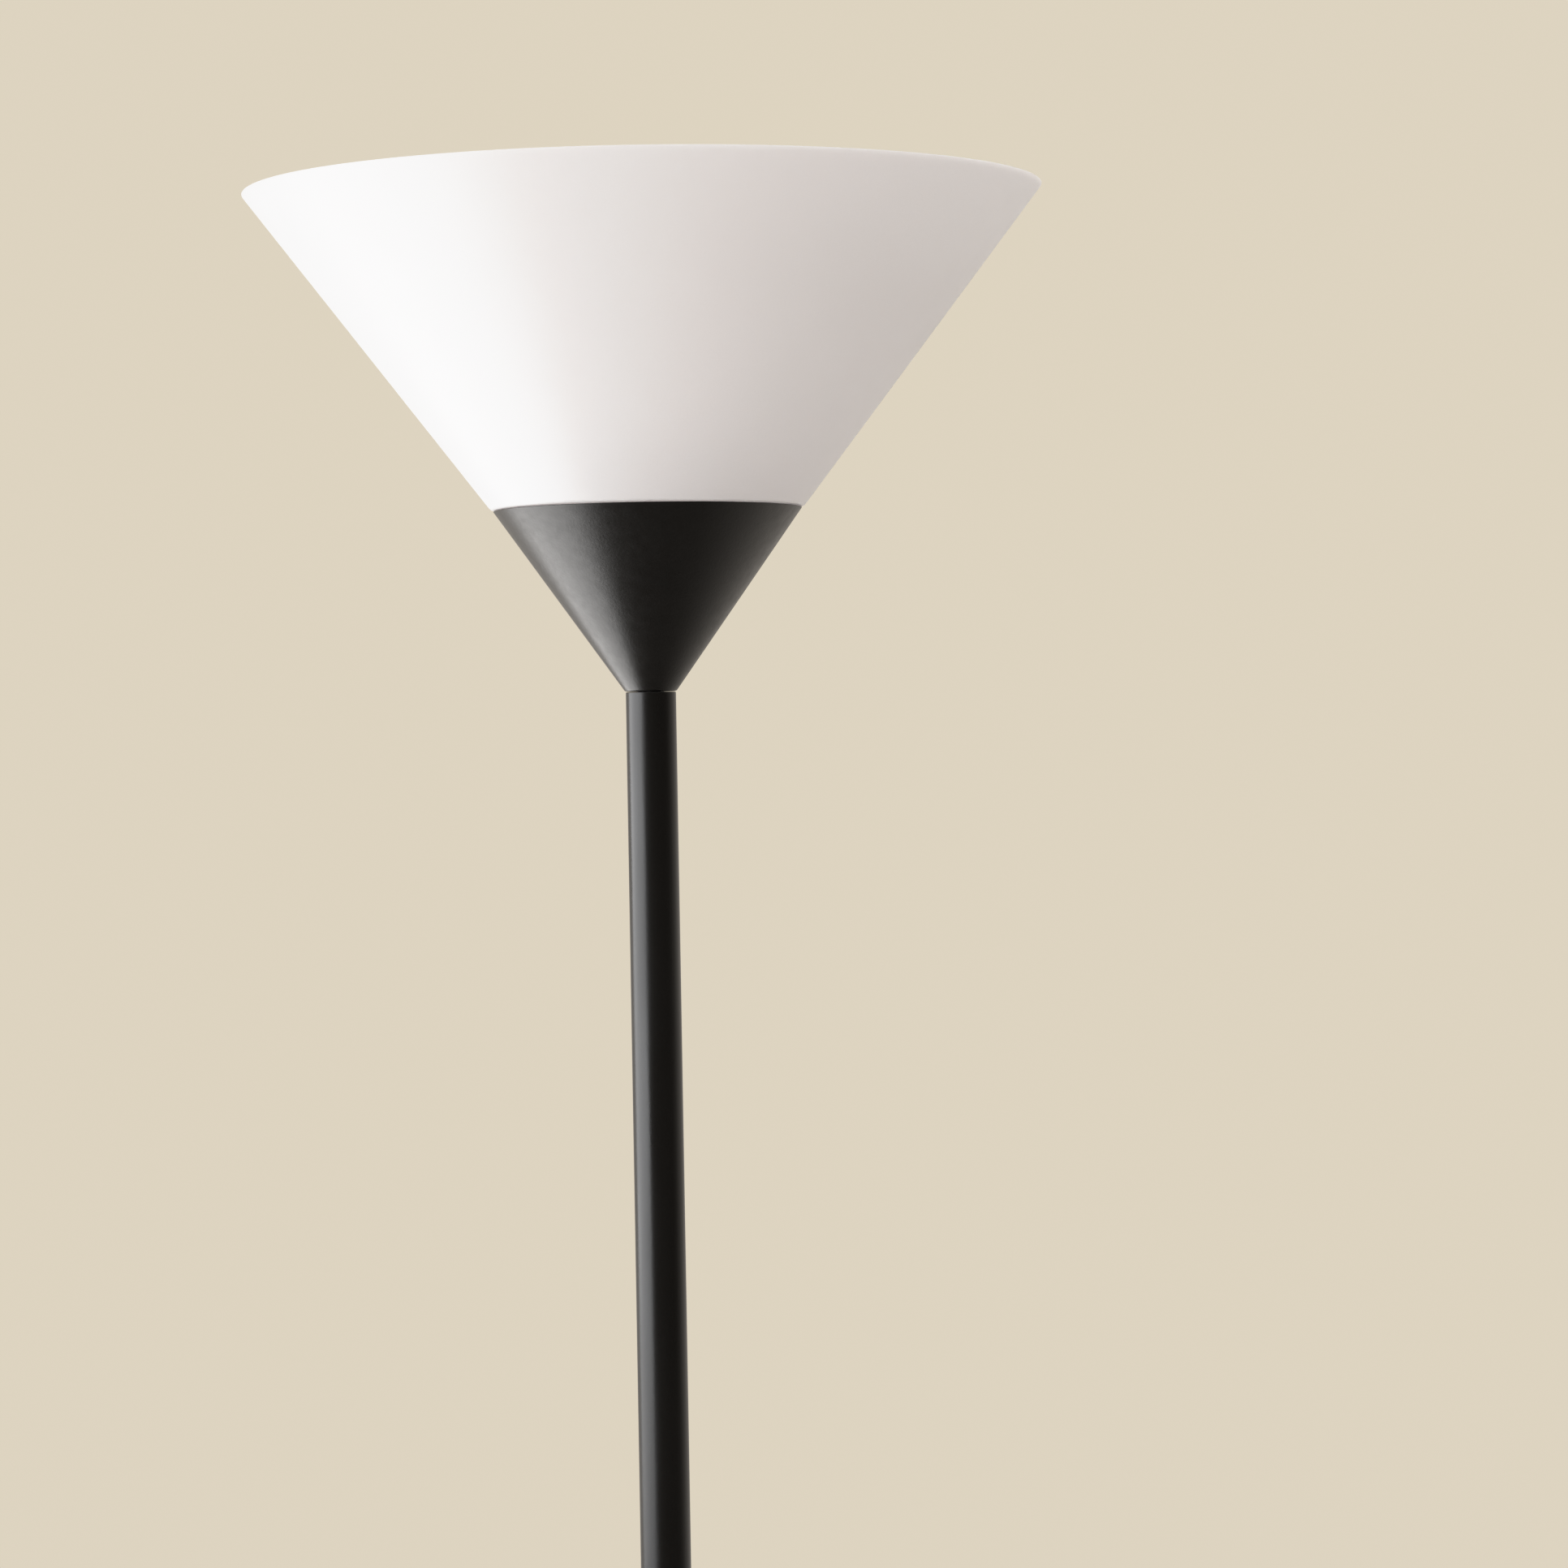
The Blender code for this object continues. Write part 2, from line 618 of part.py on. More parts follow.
def make_pole():
    pitch = LOWER_SECTION_LENGTH + CONTACT_GAP
    for i in range(LOWER_SECTIONS):
        foot = datum(f"pole_section_{i + 1}_datum", BASE_HEIGHT + CONTACT_GAP + i * pitch)
        pole_tube(f"pole_section_{i + 1}", LOWER_SECTION_LENGTH, foot)
        pole_bush(f"pole_section_{i + 1}_bush", 0, foot)
        pole_stud(f"pole_section_{i + 1}_stud", LOWER_SECTION_LENGTH, foot)
    top = datum("pole_top_datum", FRAME_TOP_Z + CONTACT_GAP)
    pole_tube("pole_top_section", TOP_SECTION_LENGTH, top)
    pole_bush("pole_top_lower_bush", 0, top)
    pole_bush("pole_top_upper_bush", TOP_SECTION_LENGTH - BUSH_LENGTH, top)


# Switch ----------------------------------------------------------------------------------------------


def case_section(mouth, radius, half_height, fillet, steps):
    """The section of a sleeve whose ends turn in through a fillet to the mouth radius."""
    foot = arc(radius - fillet, fillet - half_height, fillet, -90, 0, steps)
    head = arc(radius - fillet, half_height - fillet, fillet, 0, 90, steps)
    return [(mouth, -half_height)] + foot + head + [(mouth, half_height)]


def half_case(name, side, switch):
    """One half of the case, split on the plane through the pole's axis. side is -1 for the front."""
    outer = case_section(POLE_RADIUS + HOLE_GAP, CASE_RADIUS, CASE_HALF_HEIGHT, CASE_END_FILLET, 3)
    half = turned(name, outer, black_plastic(), switch, SIDES_MEDIUM)
    inner_fillet = CASE_END_FILLET - CASE_WALL
    inner = case_section(0, CASE_BORE, CASE_HALF_HEIGHT - CASE_WALL, inner_fillet, 2)
    cavity = hidden(turned("helper", inner, rubber(), switch, SIDES_MEDIUM))
    for x in (-POST_X, POST_X):
        post = helper_cylinder(POST_RADIUS, -0.03, 0.03, switch, "-Y", (x, 0, 0), SIDES_TINY)
        combine(cavity, post, "DIFFERENCE")
    if side < 0:
        boss = helper_cylinder(BOSS_RADIUS, -BOSS_BACK_Y, -BOSS_FACE_Y, switch, "-Y", sides=SIDES_MEDIUM)
        combine(cavity, boss, "DIFFERENCE")
        combine(half, boss, "UNION")
    combine(half, cavity, "DIFFERENCE")
    split = -side * CONTACT_GAP / 2
    trim_low, trim_high = sorted((-side * 0.05, -split))
    far = CASE_RADIUS + 0.02
    combine(half, helper_block((-far, trim_low, -0.1), (far, trim_high, 0.1), switch), "DIFFERENCE")
    return half


def make_switch_case(switch):
    front = half_case("switch_case_front", -1, switch)
    back = half_case("switch_case_back", 1, switch)
    boss_bore = helper_cylinder(BUSHING_RADIUS + HOLE_GAP, 0.001, 0.05, switch, "-Y")
    combine(front, boss_bore, "DIFFERENCE")
    for side, x in (("left", -POST_X), ("right", POST_X)):
        pilot, sink = CASE_SCREW_RADIUS + THREAD_GAP, CASE_SCREW_HEAD_RADIUS + HOLE_GAP
        drill = [(0, -0.03), (sink, -0.03), (sink, -CASE_SCREW_SEAT_Y), (pilot, -CASE_SCREW_SEAT_Y)]
        drill += [(pilot, CASE_SCREW_REACH + 0.0006), (0, CASE_SCREW_REACH + 0.0006)]
        cutter = hidden(turned("helper", drill, rubber(), switch, SIDES_TINY, "-Y"))
        cutter.location = (x, 0, 0)
        combine(front, cutter, "DIFFERENCE")
        combine(back, cutter, "DIFFERENCE")
        head_low = -(CASE_SCREW_SEAT_Y + CONTACT_GAP)
        section = [
            (0, CASE_SCREW_REACH),
            (CASE_SCREW_RADIUS, CASE_SCREW_REACH - 0.0008),
            (CASE_SCREW_RADIUS, head_low),
            (CASE_SCREW_HEAD_RADIUS, head_low),
            (CASE_SCREW_HEAD_RADIUS, head_low - CASE_SCREW_HEAD_HEIGHT * 0.6),
            (CASE_SCREW_HEAD_RADIUS * 0.7, head_low - CASE_SCREW_HEAD_HEIGHT),
            (0, head_low - CASE_SCREW_HEAD_HEIGHT),
        ]
        screw = turned(f"case_screw_{side}", section, zinc(), switch, SIDES_TINY, "-Y")
        screw.location = (x, 0, 0)


def make_switch_frame(switch):
    """The steel bracket inside the case that joins the two poles, and what clamps it to them."""
    half = FRAME_HEIGHT / 2
    strap_back = FRAME_STRAP_Y + FRAME_THICKNESS
    outline = [
        (-POLE_RADIUS, half),
        (strap_back, half),
        (strap_back, -half),
        (-POLE_RADIUS, -half),
        (-POLE_RADIUS, FRAME_THICKNESS - half),
        (FRAME_STRAP_Y, FRAME_THICKNESS - half),
        (FRAME_STRAP_Y, half - FRAME_THICKNESS),
        (-POLE_RADIUS, half - FRAME_THICKNESS),
    ]
    start = ("x", -FRAME_HALF_WIDTH)
    frame = extruded("switch_frame", outline, start, FRAME_HALF_WIDTH, zinc(), switch)
    stud_hole = helper_cylinder(NIPPLE_RADIUS + HOLE_GAP, -half - 0.01, half + 0.01, switch)
    combine(frame, stud_hole, "DIFFERENCE")
    nut_level = half - FRAME_THICKNESS - CONTACT_GAP - FRAME_NUT_HEIGHT
    bore = NIPPLE_RADIUS + THREAD_GAP
    nut_top = nut_level + FRAME_NUT_HEIGHT
    hex_nut("frame_upper_nut", NUT_ACROSS_FLATS, bore, nut_level, nut_top, zinc(), switch)
    hex_nut("frame_lower_nut", NUT_ACROSS_FLATS, bore, -nut_top, -nut_level, zinc(), switch)
    nipple("frame_nipple", nut_level - FRAME_NIPPLE_TAIL, half + CONTACT_GAP + JOINT_REACH, switch)


def make_switch_body(switch):
    """The fixed part of the rotary switch: a moulded box with a round cavity for the rotor."""
    front, back = SWITCH_BODY_FRONT_Y, SWITCH_BODY_BACK_Y
    half_width, half_height = SWITCH_BODY_WIDTH / 2, SWITCH_BODY_HEIGHT / 2
    corners = (-half_width, front, -half_height), (half_width, back, half_height)
    body = block("switch_body", *corners, black_plastic(), switch, bevel=0.0008)
    cavity_back = -(back + 0.01)
    cavity_end = SWITCH_CAVITY_DEPTH - back
    cavity = helper_cylinder(SWITCH_CAVITY_RADIUS, cavity_back, cavity_end, switch, "-Y")
    combine(body, cavity, "DIFFERENCE")
    shaft_hole = helper_cylinder(SHAFT_RADIUS + HOLE_GAP, cavity_back, 0.03, switch, "-Y")
    combine(body, shaft_hole, "DIFFERENCE")
    along = {"sides": SIDES_SMALL, "axis": "-Y", "chamfer": 0.0004}
    low, high = CONTACT_GAP - front, -BUSHING_END_Y
    ring("switch_bushing", BUSHING_BORE, BUSHING_RADIUS, low, high, brass(), switch, **along)
    low = CONTACT_GAP - BOSS_FACE_Y
    bore = BUSHING_RADIUS + THREAD_GAP
    high = low + RING_NUT_THICKNESS
    ring("switch_ring_nut", bore, RING_NUT_RADIUS, low, high, nickel(), switch, **along)
    for side, x in (("left", -TERMINAL_X), ("right", TERMINAL_X)):
        make_switch_terminal(side, x, back, switch)


def make_switch_terminal(side, x, back, switch):
    """A brass strip on the back of the switch, cranked into the cavity where the rotor wipes it."""
    near = back + TERMINAL_STAND
    far = near + TERMINAL_THICKNESS
    top, bottom = TERMINAL_HEIGHT / 2, -TERMINAL_HEIGHT / 2
    toe = ROTOR_BACK_Y + CONTACT_GAP
    outline = [
        (near, bottom + TERMINAL_THICKNESS),
        (toe, bottom + TERMINAL_THICKNESS),
        (toe, bottom),
        (far, bottom),
        (far, top),
        (near, top),
    ]
    lift = TERMINAL_HEIGHT / 2 - 0.0025
    outline = [(y, z + lift) for y, z in outline]
    name = f"switch_terminal_{side}"
    extruded(name, outline, ("x", x - TERMINAL_WIDTH / 2), x + TERMINAL_WIDTH / 2, brass(), switch)


def make_knob(switch_z):
    """The turning parts. Their datum stands on the knob's axis."""
    turning = datum("knob_datum", switch_z)
    shaft_end = -KNOB_BACK_Y + KNOB_LENGTH - 0.004
    section = [
        (0, -ROTOR_BACK_Y),
        (ROTOR_RADIUS, -ROTOR_BACK_Y),
        (ROTOR_RADIUS, -ROTOR_FRONT_Y),
        (SHAFT_RADIUS, -ROTOR_FRONT_Y),
        (SHAFT_RADIUS, shaft_end - 0.0004),
        (SHAFT_RADIUS - 0.0004, shaft_end),
        (0, shaft_end),
    ]
    turned("switch_shaft", section, nickel(), turning, SIDES_TINY, "-Y")
    make_knob_cap(turning, shaft_end)


def make_knob_cap(turning, shaft_end):
    """The knob: a fluted cap that covers the ring nut and grips the shaft's end."""
    back = -KNOB_BACK_Y
    front = back + KNOB_LENGTH
    cavity_radius = RING_NUT_RADIUS + 0.0006
    cavity_end = -BUSHING_END_Y + 0.0006
    shaft_bore = SHAFT_RADIUS + PRESS_GAP
    neck = KNOB_RADIUS - 0.0010
    grip = front - KNOB_GRIP_DEPTH
    section = [
        (0, shaft_end + CONTACT_GAP),
        (shaft_bore, shaft_end + CONTACT_GAP),
        (shaft_bore, cavity_end),
        (cavity_radius, cavity_end),
        (cavity_radius, back),
        (KNOB_RADIUS, back),
        (KNOB_RADIUS, grip - 0.0014),
        (neck, grip),
        (neck, front - 0.0012),
        (neck - 0.0012, front),
        (0, front),
    ]

    def draw(work):
        spin_profile(work, section, KNOB_FLUTES * 2)
        for corner in work.verts:
            radius = math.hypot(corner.co.x, corner.co.y)
            if corner.co.z < grip - 0.0001 or radius < neck - 0.0001:
                continue
            angle = math.atan2(corner.co.y, corner.co.x)
            grown = radius - KNOB_FLUTE_DEPTH * (1 + math.cos(KNOB_FLUTES * angle)) / 2
            corner.co.x *= grown / radius
            corner.co.y *= grown / radius
        bmesh.ops.rotate(work, verts=work.verts, matrix=Matrix.Rotation(math.pi / 2, 3, "X"))

    piece("switch_knob", draw, black_plastic(), turning)


def make_switch():
    switch = datum("switch_datum", SWITCH_Z)
    make_switch_case(switch)
    make_switch_frame(switch)
    make_switch_body(switch)
    make_knob(SWITCH_Z)


# Head ------------------------------------------------------------------------------------------------


def cup_outer_radius(level):
    return CUP_FOOT_RADIUS + CUP_SLOPE * level


def cup_inner_radius(level):
    return cup_outer_radius(level) - CUP_WALL_ACROSS


def make_cup(head):
    """The spun steel cone. Its foot is closed by a floor with a hole for the nipple."""
    hole = NIPPLE_RADIUS + HOLE_GAP
    lip = CUP_WALL_ACROSS * 0.25
    section = [
        (hole, 0),
        (CUP_FOOT_RADIUS, 0),
        (CUP_RIM_RADIUS - CUP_SLOPE * 0.0003, CUP_HEIGHT - 0.0003),
        (CUP_RIM_RADIUS - lip, CUP_HEIGHT),
        (cup_inner_radius(CUP_HEIGHT) + lip, CUP_HEIGHT),
        (cup_inner_radius(CUP_HEIGHT - 0.0003), CUP_HEIGHT - 0.0003),
        (cup_inner_radius(CUP_FLOOR), CUP_FLOOR),
        (hole, CUP_FLOOR),
    ]
    turned("cup", section, black_paint(), head, SIDES_LARGE)


def make_head_fixings(head):
    bore = NIPPLE_RADIUS + THREAD_GAP
    nipple("head_nipple", -CONTACT_GAP - JOINT_REACH, HEAD_NIPPLE_TOP_LEVEL, head)
    ring("head_washer", bore, WASHER_RADIUS, WASHER_LEVEL, WASHER_LEVEL + WASHER_HEIGHT, zinc(), head)
    hex_nut("head_nut", NUT_ACROSS_FLATS, bore, NUT_LEVEL, NUT_LEVEL + NUT_HEIGHT, zinc(), head)


def dome(inner_radius, outer_radius, low, high, steps):
    """A quarter ellipse from a neck out to a shoulder."""
    reach, rise = outer_radius - inner_radius, high - low
    turns = [math.pi / 2 * i / steps for i in range(steps + 1)]
    return [(inner_radius + reach * math.sin(a), low + rise * (1 - math.cos(a))) for a in turns]


def make_holder_housing(head):
    """The lampholder's two moulded shells: the domed cap on the nipple, and the body screwed into it."""
    bore = NIPPLE_RADIUS + THREAD_GAP
    neck, shoulder, joint = HOLDER_NECK_LEVEL, HOLDER_SHOULDER_LEVEL, HOLDER_JOINT_LEVEL
    cap = [(bore, HOLDER_LEVEL), (HOLDER_NECK_RADIUS, HOLDER_LEVEL)]
    cap += dome(HOLDER_NECK_RADIUS, HOLDER_RADIUS, neck, shoulder, 4) + [(HOLDER_RADIUS, joint)]
    ledge = INSERT_LEVEL - CONTACT_GAP
    ledge_radius = SHELL_RADIUS - HOLDER_LEDGE
    cap += [(HOLDER_BORE, joint), (HOLDER_BORE, ledge), (ledge_radius, ledge)]
    cap += dome(bore, ledge_radius, neck + HOLDER_WALL, ledge - 0.001, 3)[::-1]
    turned("holder_cap", cap, black_plastic(), head, SIDES_MEDIUM)

    spigot = HOLDER_BORE - THREAD_GAP
    low = joint - HOLDER_SPIGOT_DEPTH
    seat = joint + CONTACT_GAP
    top = seat + HOLDER_BODY_HEIGHT
    mouth = HOLDER_MOUTH
    lip = CAP_THREAD_RADIUS + THREAD_DEPTH + HOLDER_LIP_CLEARANCE
    lip_level = SHELL_LEVEL + SHELL_HEIGHT + CONTACT_GAP
    body = [
        (mouth, low),
        (spigot, low),
        (spigot, seat),
        (HOLDER_RADIUS, seat),
        (HOLDER_RADIUS, seat + 0.003),
        (HOLDER_RADIUS - HOLDER_BODY_TAPER, top - 0.001),
        (HOLDER_RADIUS - HOLDER_BODY_TAPER - 0.001, top),
        (lip, top),
        (lip, lip_level),
        (mouth, lip_level),
    ]
    turned("holder_body", body, black_plastic(), head, SIDES_MEDIUM)


def make_holder_inside(head):
    """The porcelain core with its screw shell and terminal screws."""
    low, high = INSERT_LEVEL, INSERT_TOP_LEVEL
    along = {"sides": SIDES_MEDIUM, "chamfer": 0.0005}
    core = ring("holder_insert", INSERT_BORE, SHELL_RADIUS, low, high, porcelain(), head, **along)
    shell_top = SHELL_LEVEL + SHELL_HEIGHT
    thread_low = SHELL_LEVEL + SHELL_FLANGE_THICKNESS
    wall = threaded_section(thread_low, shell_top, SHELL_THREAD_RADIUS)
    section = [(SHELL_FLANGE_BORE, thread_low), (SHELL_FLANGE_BORE, SHELL_LEVEL)]
    section += [(SHELL_RADIUS, SHELL_LEVEL), (SHELL_RADIUS, shell_top)] + wall[::-1]

    def draw(work):
        spin_profile(work, section, SIDES_THREAD)
        cut_thread(work, SHELL_THREAD_RADIUS, thread_low, shell_top, 0.0, 1)

    piece("holder_screw_shell", draw, brass(), head)
    for side, x in (("left", -TERMINAL_SCREW_X), ("right", TERMINAL_SCREW_X)):
        head_top = INSERT_LEVEL - CONTACT_GAP
        shank_top = INSERT_LEVEL + 0.004
        section = [
            (0, head_top - TERMINAL_SCREW_HEAD_HEIGHT),
            (TERMINAL_SCREW_HEAD_RADIUS, head_top - TERMINAL_SCREW_HEAD_HEIGHT),
            (TERMINAL_SCREW_HEAD_RADIUS, head_top),
            (0.0014, head_top),
            (0.0014, shank_top),
            (0, shank_top),
        ]
        screw = turned(f"holder_terminal_{side}", section, brass(), head, SIDES_TINY)
        screw.location = (x, 0, 0)
        pilot_ends = head_top - 0.002, shank_top + CONTACT_GAP
        pilot = helper_cylinder(0.0014 + THREAD_GAP, *pilot_ends, head, "Z", (x, 0, 0), SIDES_TINY)
        combine(core, pilot, "DIFFERENCE")
    return core


def make_contact_tongue(core):
    """The sprung strip under the bulb's tip, and the rivet through its root. The datum stands on the line
    that the strip bends about."""
    hinge = datum("contact_tongue_datum", CUP_FOOT_Z + TONGUE_LEVEL + TONGUE_THICKNESS / 2, TONGUE_HINGE_X)
    half = TONGUE_THICKNESS / 2
    root, tip = TONGUE_ROOT_X - TONGUE_HINGE_X, TONGUE_TIP_X - TONGUE_HINGE_X
    crest = -TONGUE_HINGE_X - 0.001
    outline = [(root, -half), (0, -half), (crest, TONGUE_RISE - half), (tip, TONGUE_RISE - half)]
    outline += [(tip, TONGUE_RISE + half), (crest, TONGUE_RISE + half), (0, half), (root, half)]
    start = ("y", -TONGUE_WIDTH / 2)
    tongue = extruded("holder_contact_tongue", outline, start, TONGUE_WIDTH / 2, brass(), hinge)
    rivet_x = root / 2
    bore = RIVET_RADIUS + THREAD_GAP
    hole = helper_cylinder(bore, -0.005, 0.005, hinge, "Z", (rivet_x, 0, 0), SIDES_TINY)
    combine(tongue, hole, "DIFFERENCE")
    seat = half + CONTACT_GAP
    section = [(0, -RIVET_REACH), (RIVET_RADIUS, -RIVET_REACH), (RIVET_RADIUS, seat)]
    section += [(RIVET_HEAD_RADIUS, seat), (RIVET_HEAD_RADIUS * 0.6, seat + 0.0006), (0, seat + 0.0006)]
    rivet = turned("holder_tongue_rivet", section, brass(), hinge, SIDES_TINY)
    rivet.location = (rivet_x, 0, 0)
    depth = RIVET_REACH + CONTACT_GAP
    pilot = helper_cylinder(bore, -depth, 0.01, hinge, "Z", (rivet_x, 0, 0), SIDES_TINY)
    combine(core, pilot, "DIFFERENCE")


def make_head():
    head = datum("head_datum", CUP_FOOT_Z)
    make_cup(head)
    make_head_fixings(head)
    make_holder_housing(head)
    core = make_holder_inside(head)
    make_contact_tongue(core)


# Bulb ------------------------------------------------------------------------------------------------


def make_bulb():
    """An A19 bulb. Its datum stands on its axis at the tip of its contact."""
    bulb = datum("bulb_datum", CUP_FOOT_Z + BULB_LEVEL)
    centre = BULB_LENGTH - BULB_RADIUS
    joint = centre - BULB_JOINT_BELOW_CENTRE
    joint_radius = math.sqrt(BULB_RADIUS**2 - BULB_JOINT_BELOW_CENTRE**2)
    make_bulb_cap(bulb)
    make_bulb_body(bulb, joint, joint_radius)
    start = -math.degrees(math.asin(BULB_JOINT_BELOW_CENTRE / BULB_RADIUS))
    outer = arc(0, centre, BULB_RADIUS, start, 90, 7)
    inner_radius = BULB_RADIUS - BULB_WALL
    inner_start = -math.degrees(math.asin(BULB_JOINT_BELOW_CENTRE / inner_radius))
    inner = arc(0, centre, inner_radius, 90, inner_start, 6)
    lowest = joint + CONTACT_GAP
    profile = [(r, max(z, lowest)) for r, z in inner + outer]
    profile = [(0, inner[0][1])] + profile[1:-1] + [(0, outer[-1][1])]
    turned("bulb_diffuser", profile, opal_plastic(), bulb, SIDES_MEDIUM)
    plate_radius = joint_radius - BULB_WALL - CONTACT_GAP
    section = disc_section(plate_radius, joint - LED_PLATE_THICKNESS, joint, 0.0002)
    turned("bulb_led_plate", section, white_plastic(), bulb, SIDES_MEDIUM)


def make_bulb_cap(bulb):
    """The contact tip, the glass insulator and the threaded cap."""
    tip = [(0, 0), (BULB_TIP_RADIUS * 0.6, 0), (BULB_TIP_RADIUS, BULB_TIP_HEIGHT * 0.5)]
    tip += [(BULB_TIP_RADIUS, BULB_TIP_HEIGHT), (0, BULB_TIP_HEIGHT)]
    turned("bulb_tip", tip, nickel(), bulb, SIDES_TINY)
    low, high = BULB_TIP_HEIGHT + CONTACT_GAP, BULB_INSULATOR_TOP
    wide = CAP_THREAD_RADIUS - BULB_INSULATOR_INSET
    insulator = [(0, low), (BULB_TIP_RADIUS, low), (wide, high), (0, high)]
    turned("bulb_insulator", insulator, black_plastic(), bulb, SIDES_SMALL)
    first, last = BULB_INSULATOR_TOP + CONTACT_GAP, BULB_SHOULDER - CONTACT_GAP
    thread_last = last - 0.002
    bore = CAP_THREAD_RADIUS - THREAD_DEPTH - BULB_CAP_WALL
    wall = threaded_section(first, thread_last, CAP_THREAD_RADIUS)
    section = wall + [(CAP_THREAD_RADIUS - THREAD_DEPTH, last), (bore, last), (bore, first)]

    def draw(work):
        spin_profile(work, section, SIDES_THREAD)
        cut_thread(work, CAP_THREAD_RADIUS, first, thread_last, BULB_LEVEL, -1)

    piece("bulb_screw_cap", draw, nickel(), bulb)


def make_bulb_body(bulb, joint, joint_radius):
    """The moulded body between the cap and the diffuser, with a neck that plugs into the cap."""
    neck_radius = CAP_THREAD_RADIUS - THREAD_DEPTH - BULB_CAP_WALL - CONTACT_GAP
    neck_low = BULB_SHOULDER - BULB_NECK_DEPTH
    shoulder_radius = CAP_THREAD_RADIUS + BULB_SHOULDER_STEP
    flare = []
    steps = 4
    for i in range(steps + 1):
        share = i / steps
        swell = share + 0.09 * math.sin(math.pi * share)
        radius = shoulder_radius + (joint_radius - shoulder_radius) * swell
        flare.append((radius, BULB_SHOULDER + (joint - BULB_SHOULDER) * share))
    inside = [(radius - BULB_WALL, height) for radius, height in flare[:-1]][::-1]
    ledge = joint - LED_PLATE_THICKNESS - CONTACT_GAP
    rim = joint_radius - BULB_WALL
    wall_top = [(rim, joint), (rim, ledge), (rim - LED_LEDGE, ledge)]
    section = [(neck_radius - BULB_WALL, neck_low), (neck_radius, neck_low), (neck_radius, BULB_SHOULDER)]
    section += flare + wall_top + inside[:-1] + [(neck_radius - BULB_WALL, BULB_SHOULDER + BULB_WALL)]
    turned("bulb_body", section, white_plastic(), bulb, SIDES_MEDIUM)


# Shade -----------------------------------------------------------------------------------------------


def make_shade():
    """The opal cone. Its shoulder rests on the cup's rim and its spigot hangs inside the cup."""
    shade = datum("shade_datum", CUP_RIM_Z)
    foot_radius = CUP_RIM_RADIUS + SHADE_OVERHANG
    low, high = CONTACT_GAP, CONTACT_GAP + SHADE_HEIGHT
    slope = (SHADE_RIM_RADIUS - foot_radius) / SHADE_HEIGHT
    across = SHADE_WALL * math.hypot(1, slope)
    rise = SHADE_FOOT_RADIUS
    spigot_top = cup_inner_radius(CUP_HEIGHT) - SPIGOT_CLEARANCE
    spigot_low = spigot_top - CUP_SLOPE * SPIGOT_DEPTH
    spigot_across = SHADE_WALL * math.hypot(1, CUP_SLOPE)
    rim_low = high - SHADE_WALL * 0.35
    section = [
        (spigot_low - spigot_across, low - SPIGOT_DEPTH),
        (spigot_low, low - SPIGOT_DEPTH),
        (spigot_top, low),
        (foot_radius - rise * 0.4, low),
        (foot_radius + slope * rise * 0.3, low + rise * 0.3),
        (foot_radius + slope * rise, low + rise),
        (SHADE_RIM_RADIUS - slope * (high - rim_low), rim_low),
        (SHADE_RIM_RADIUS, rim_low + SHADE_WALL * 0.2),
        (SHADE_RIM_RADIUS - across * 0.35, high),
        (SHADE_RIM_RADIUS - across * 0.8, high),
        (SHADE_RIM_RADIUS - across * 1.1, rim_low),
        (foot_radius - across + slope * SHADE_WALL, low + SHADE_WALL),
        (spigot_top - spigot_across, low + SHADE_WALL * 0.3),
    ]
    turned("shade", section, opal_plastic(), shade, SIDES_LARGE)


# Wires -----------------------------------------------------------------------------------------------


def smooth_route(waypoints, steps):
    """A smooth curve through the waypoints: cubic pieces whose handles follow the neighbouring points."""
    points = []
    for i in range(len(waypoints) - 1):
        start, end = waypoints[i], waypoints[i + 1]
        before = waypoints[i - 1] if i > 0 else start
        after = waypoints[i + 2] if i + 2 < len(waypoints) else end
        reach = (end - start).length / 3
        leave = (end - before).normalized() * reach
        arrive = (after - start).normalized() * reach
        for k in range(steps):
            t = k / steps
            points.append(
                start * (1 - t) ** 3
                + (start + leave) * 3 * t * (1 - t) ** 2
                + (end - arrive) * 3 * t**2 * (1 - t)
                + end * t**3
            )
    return points + [waypoints[-1]]


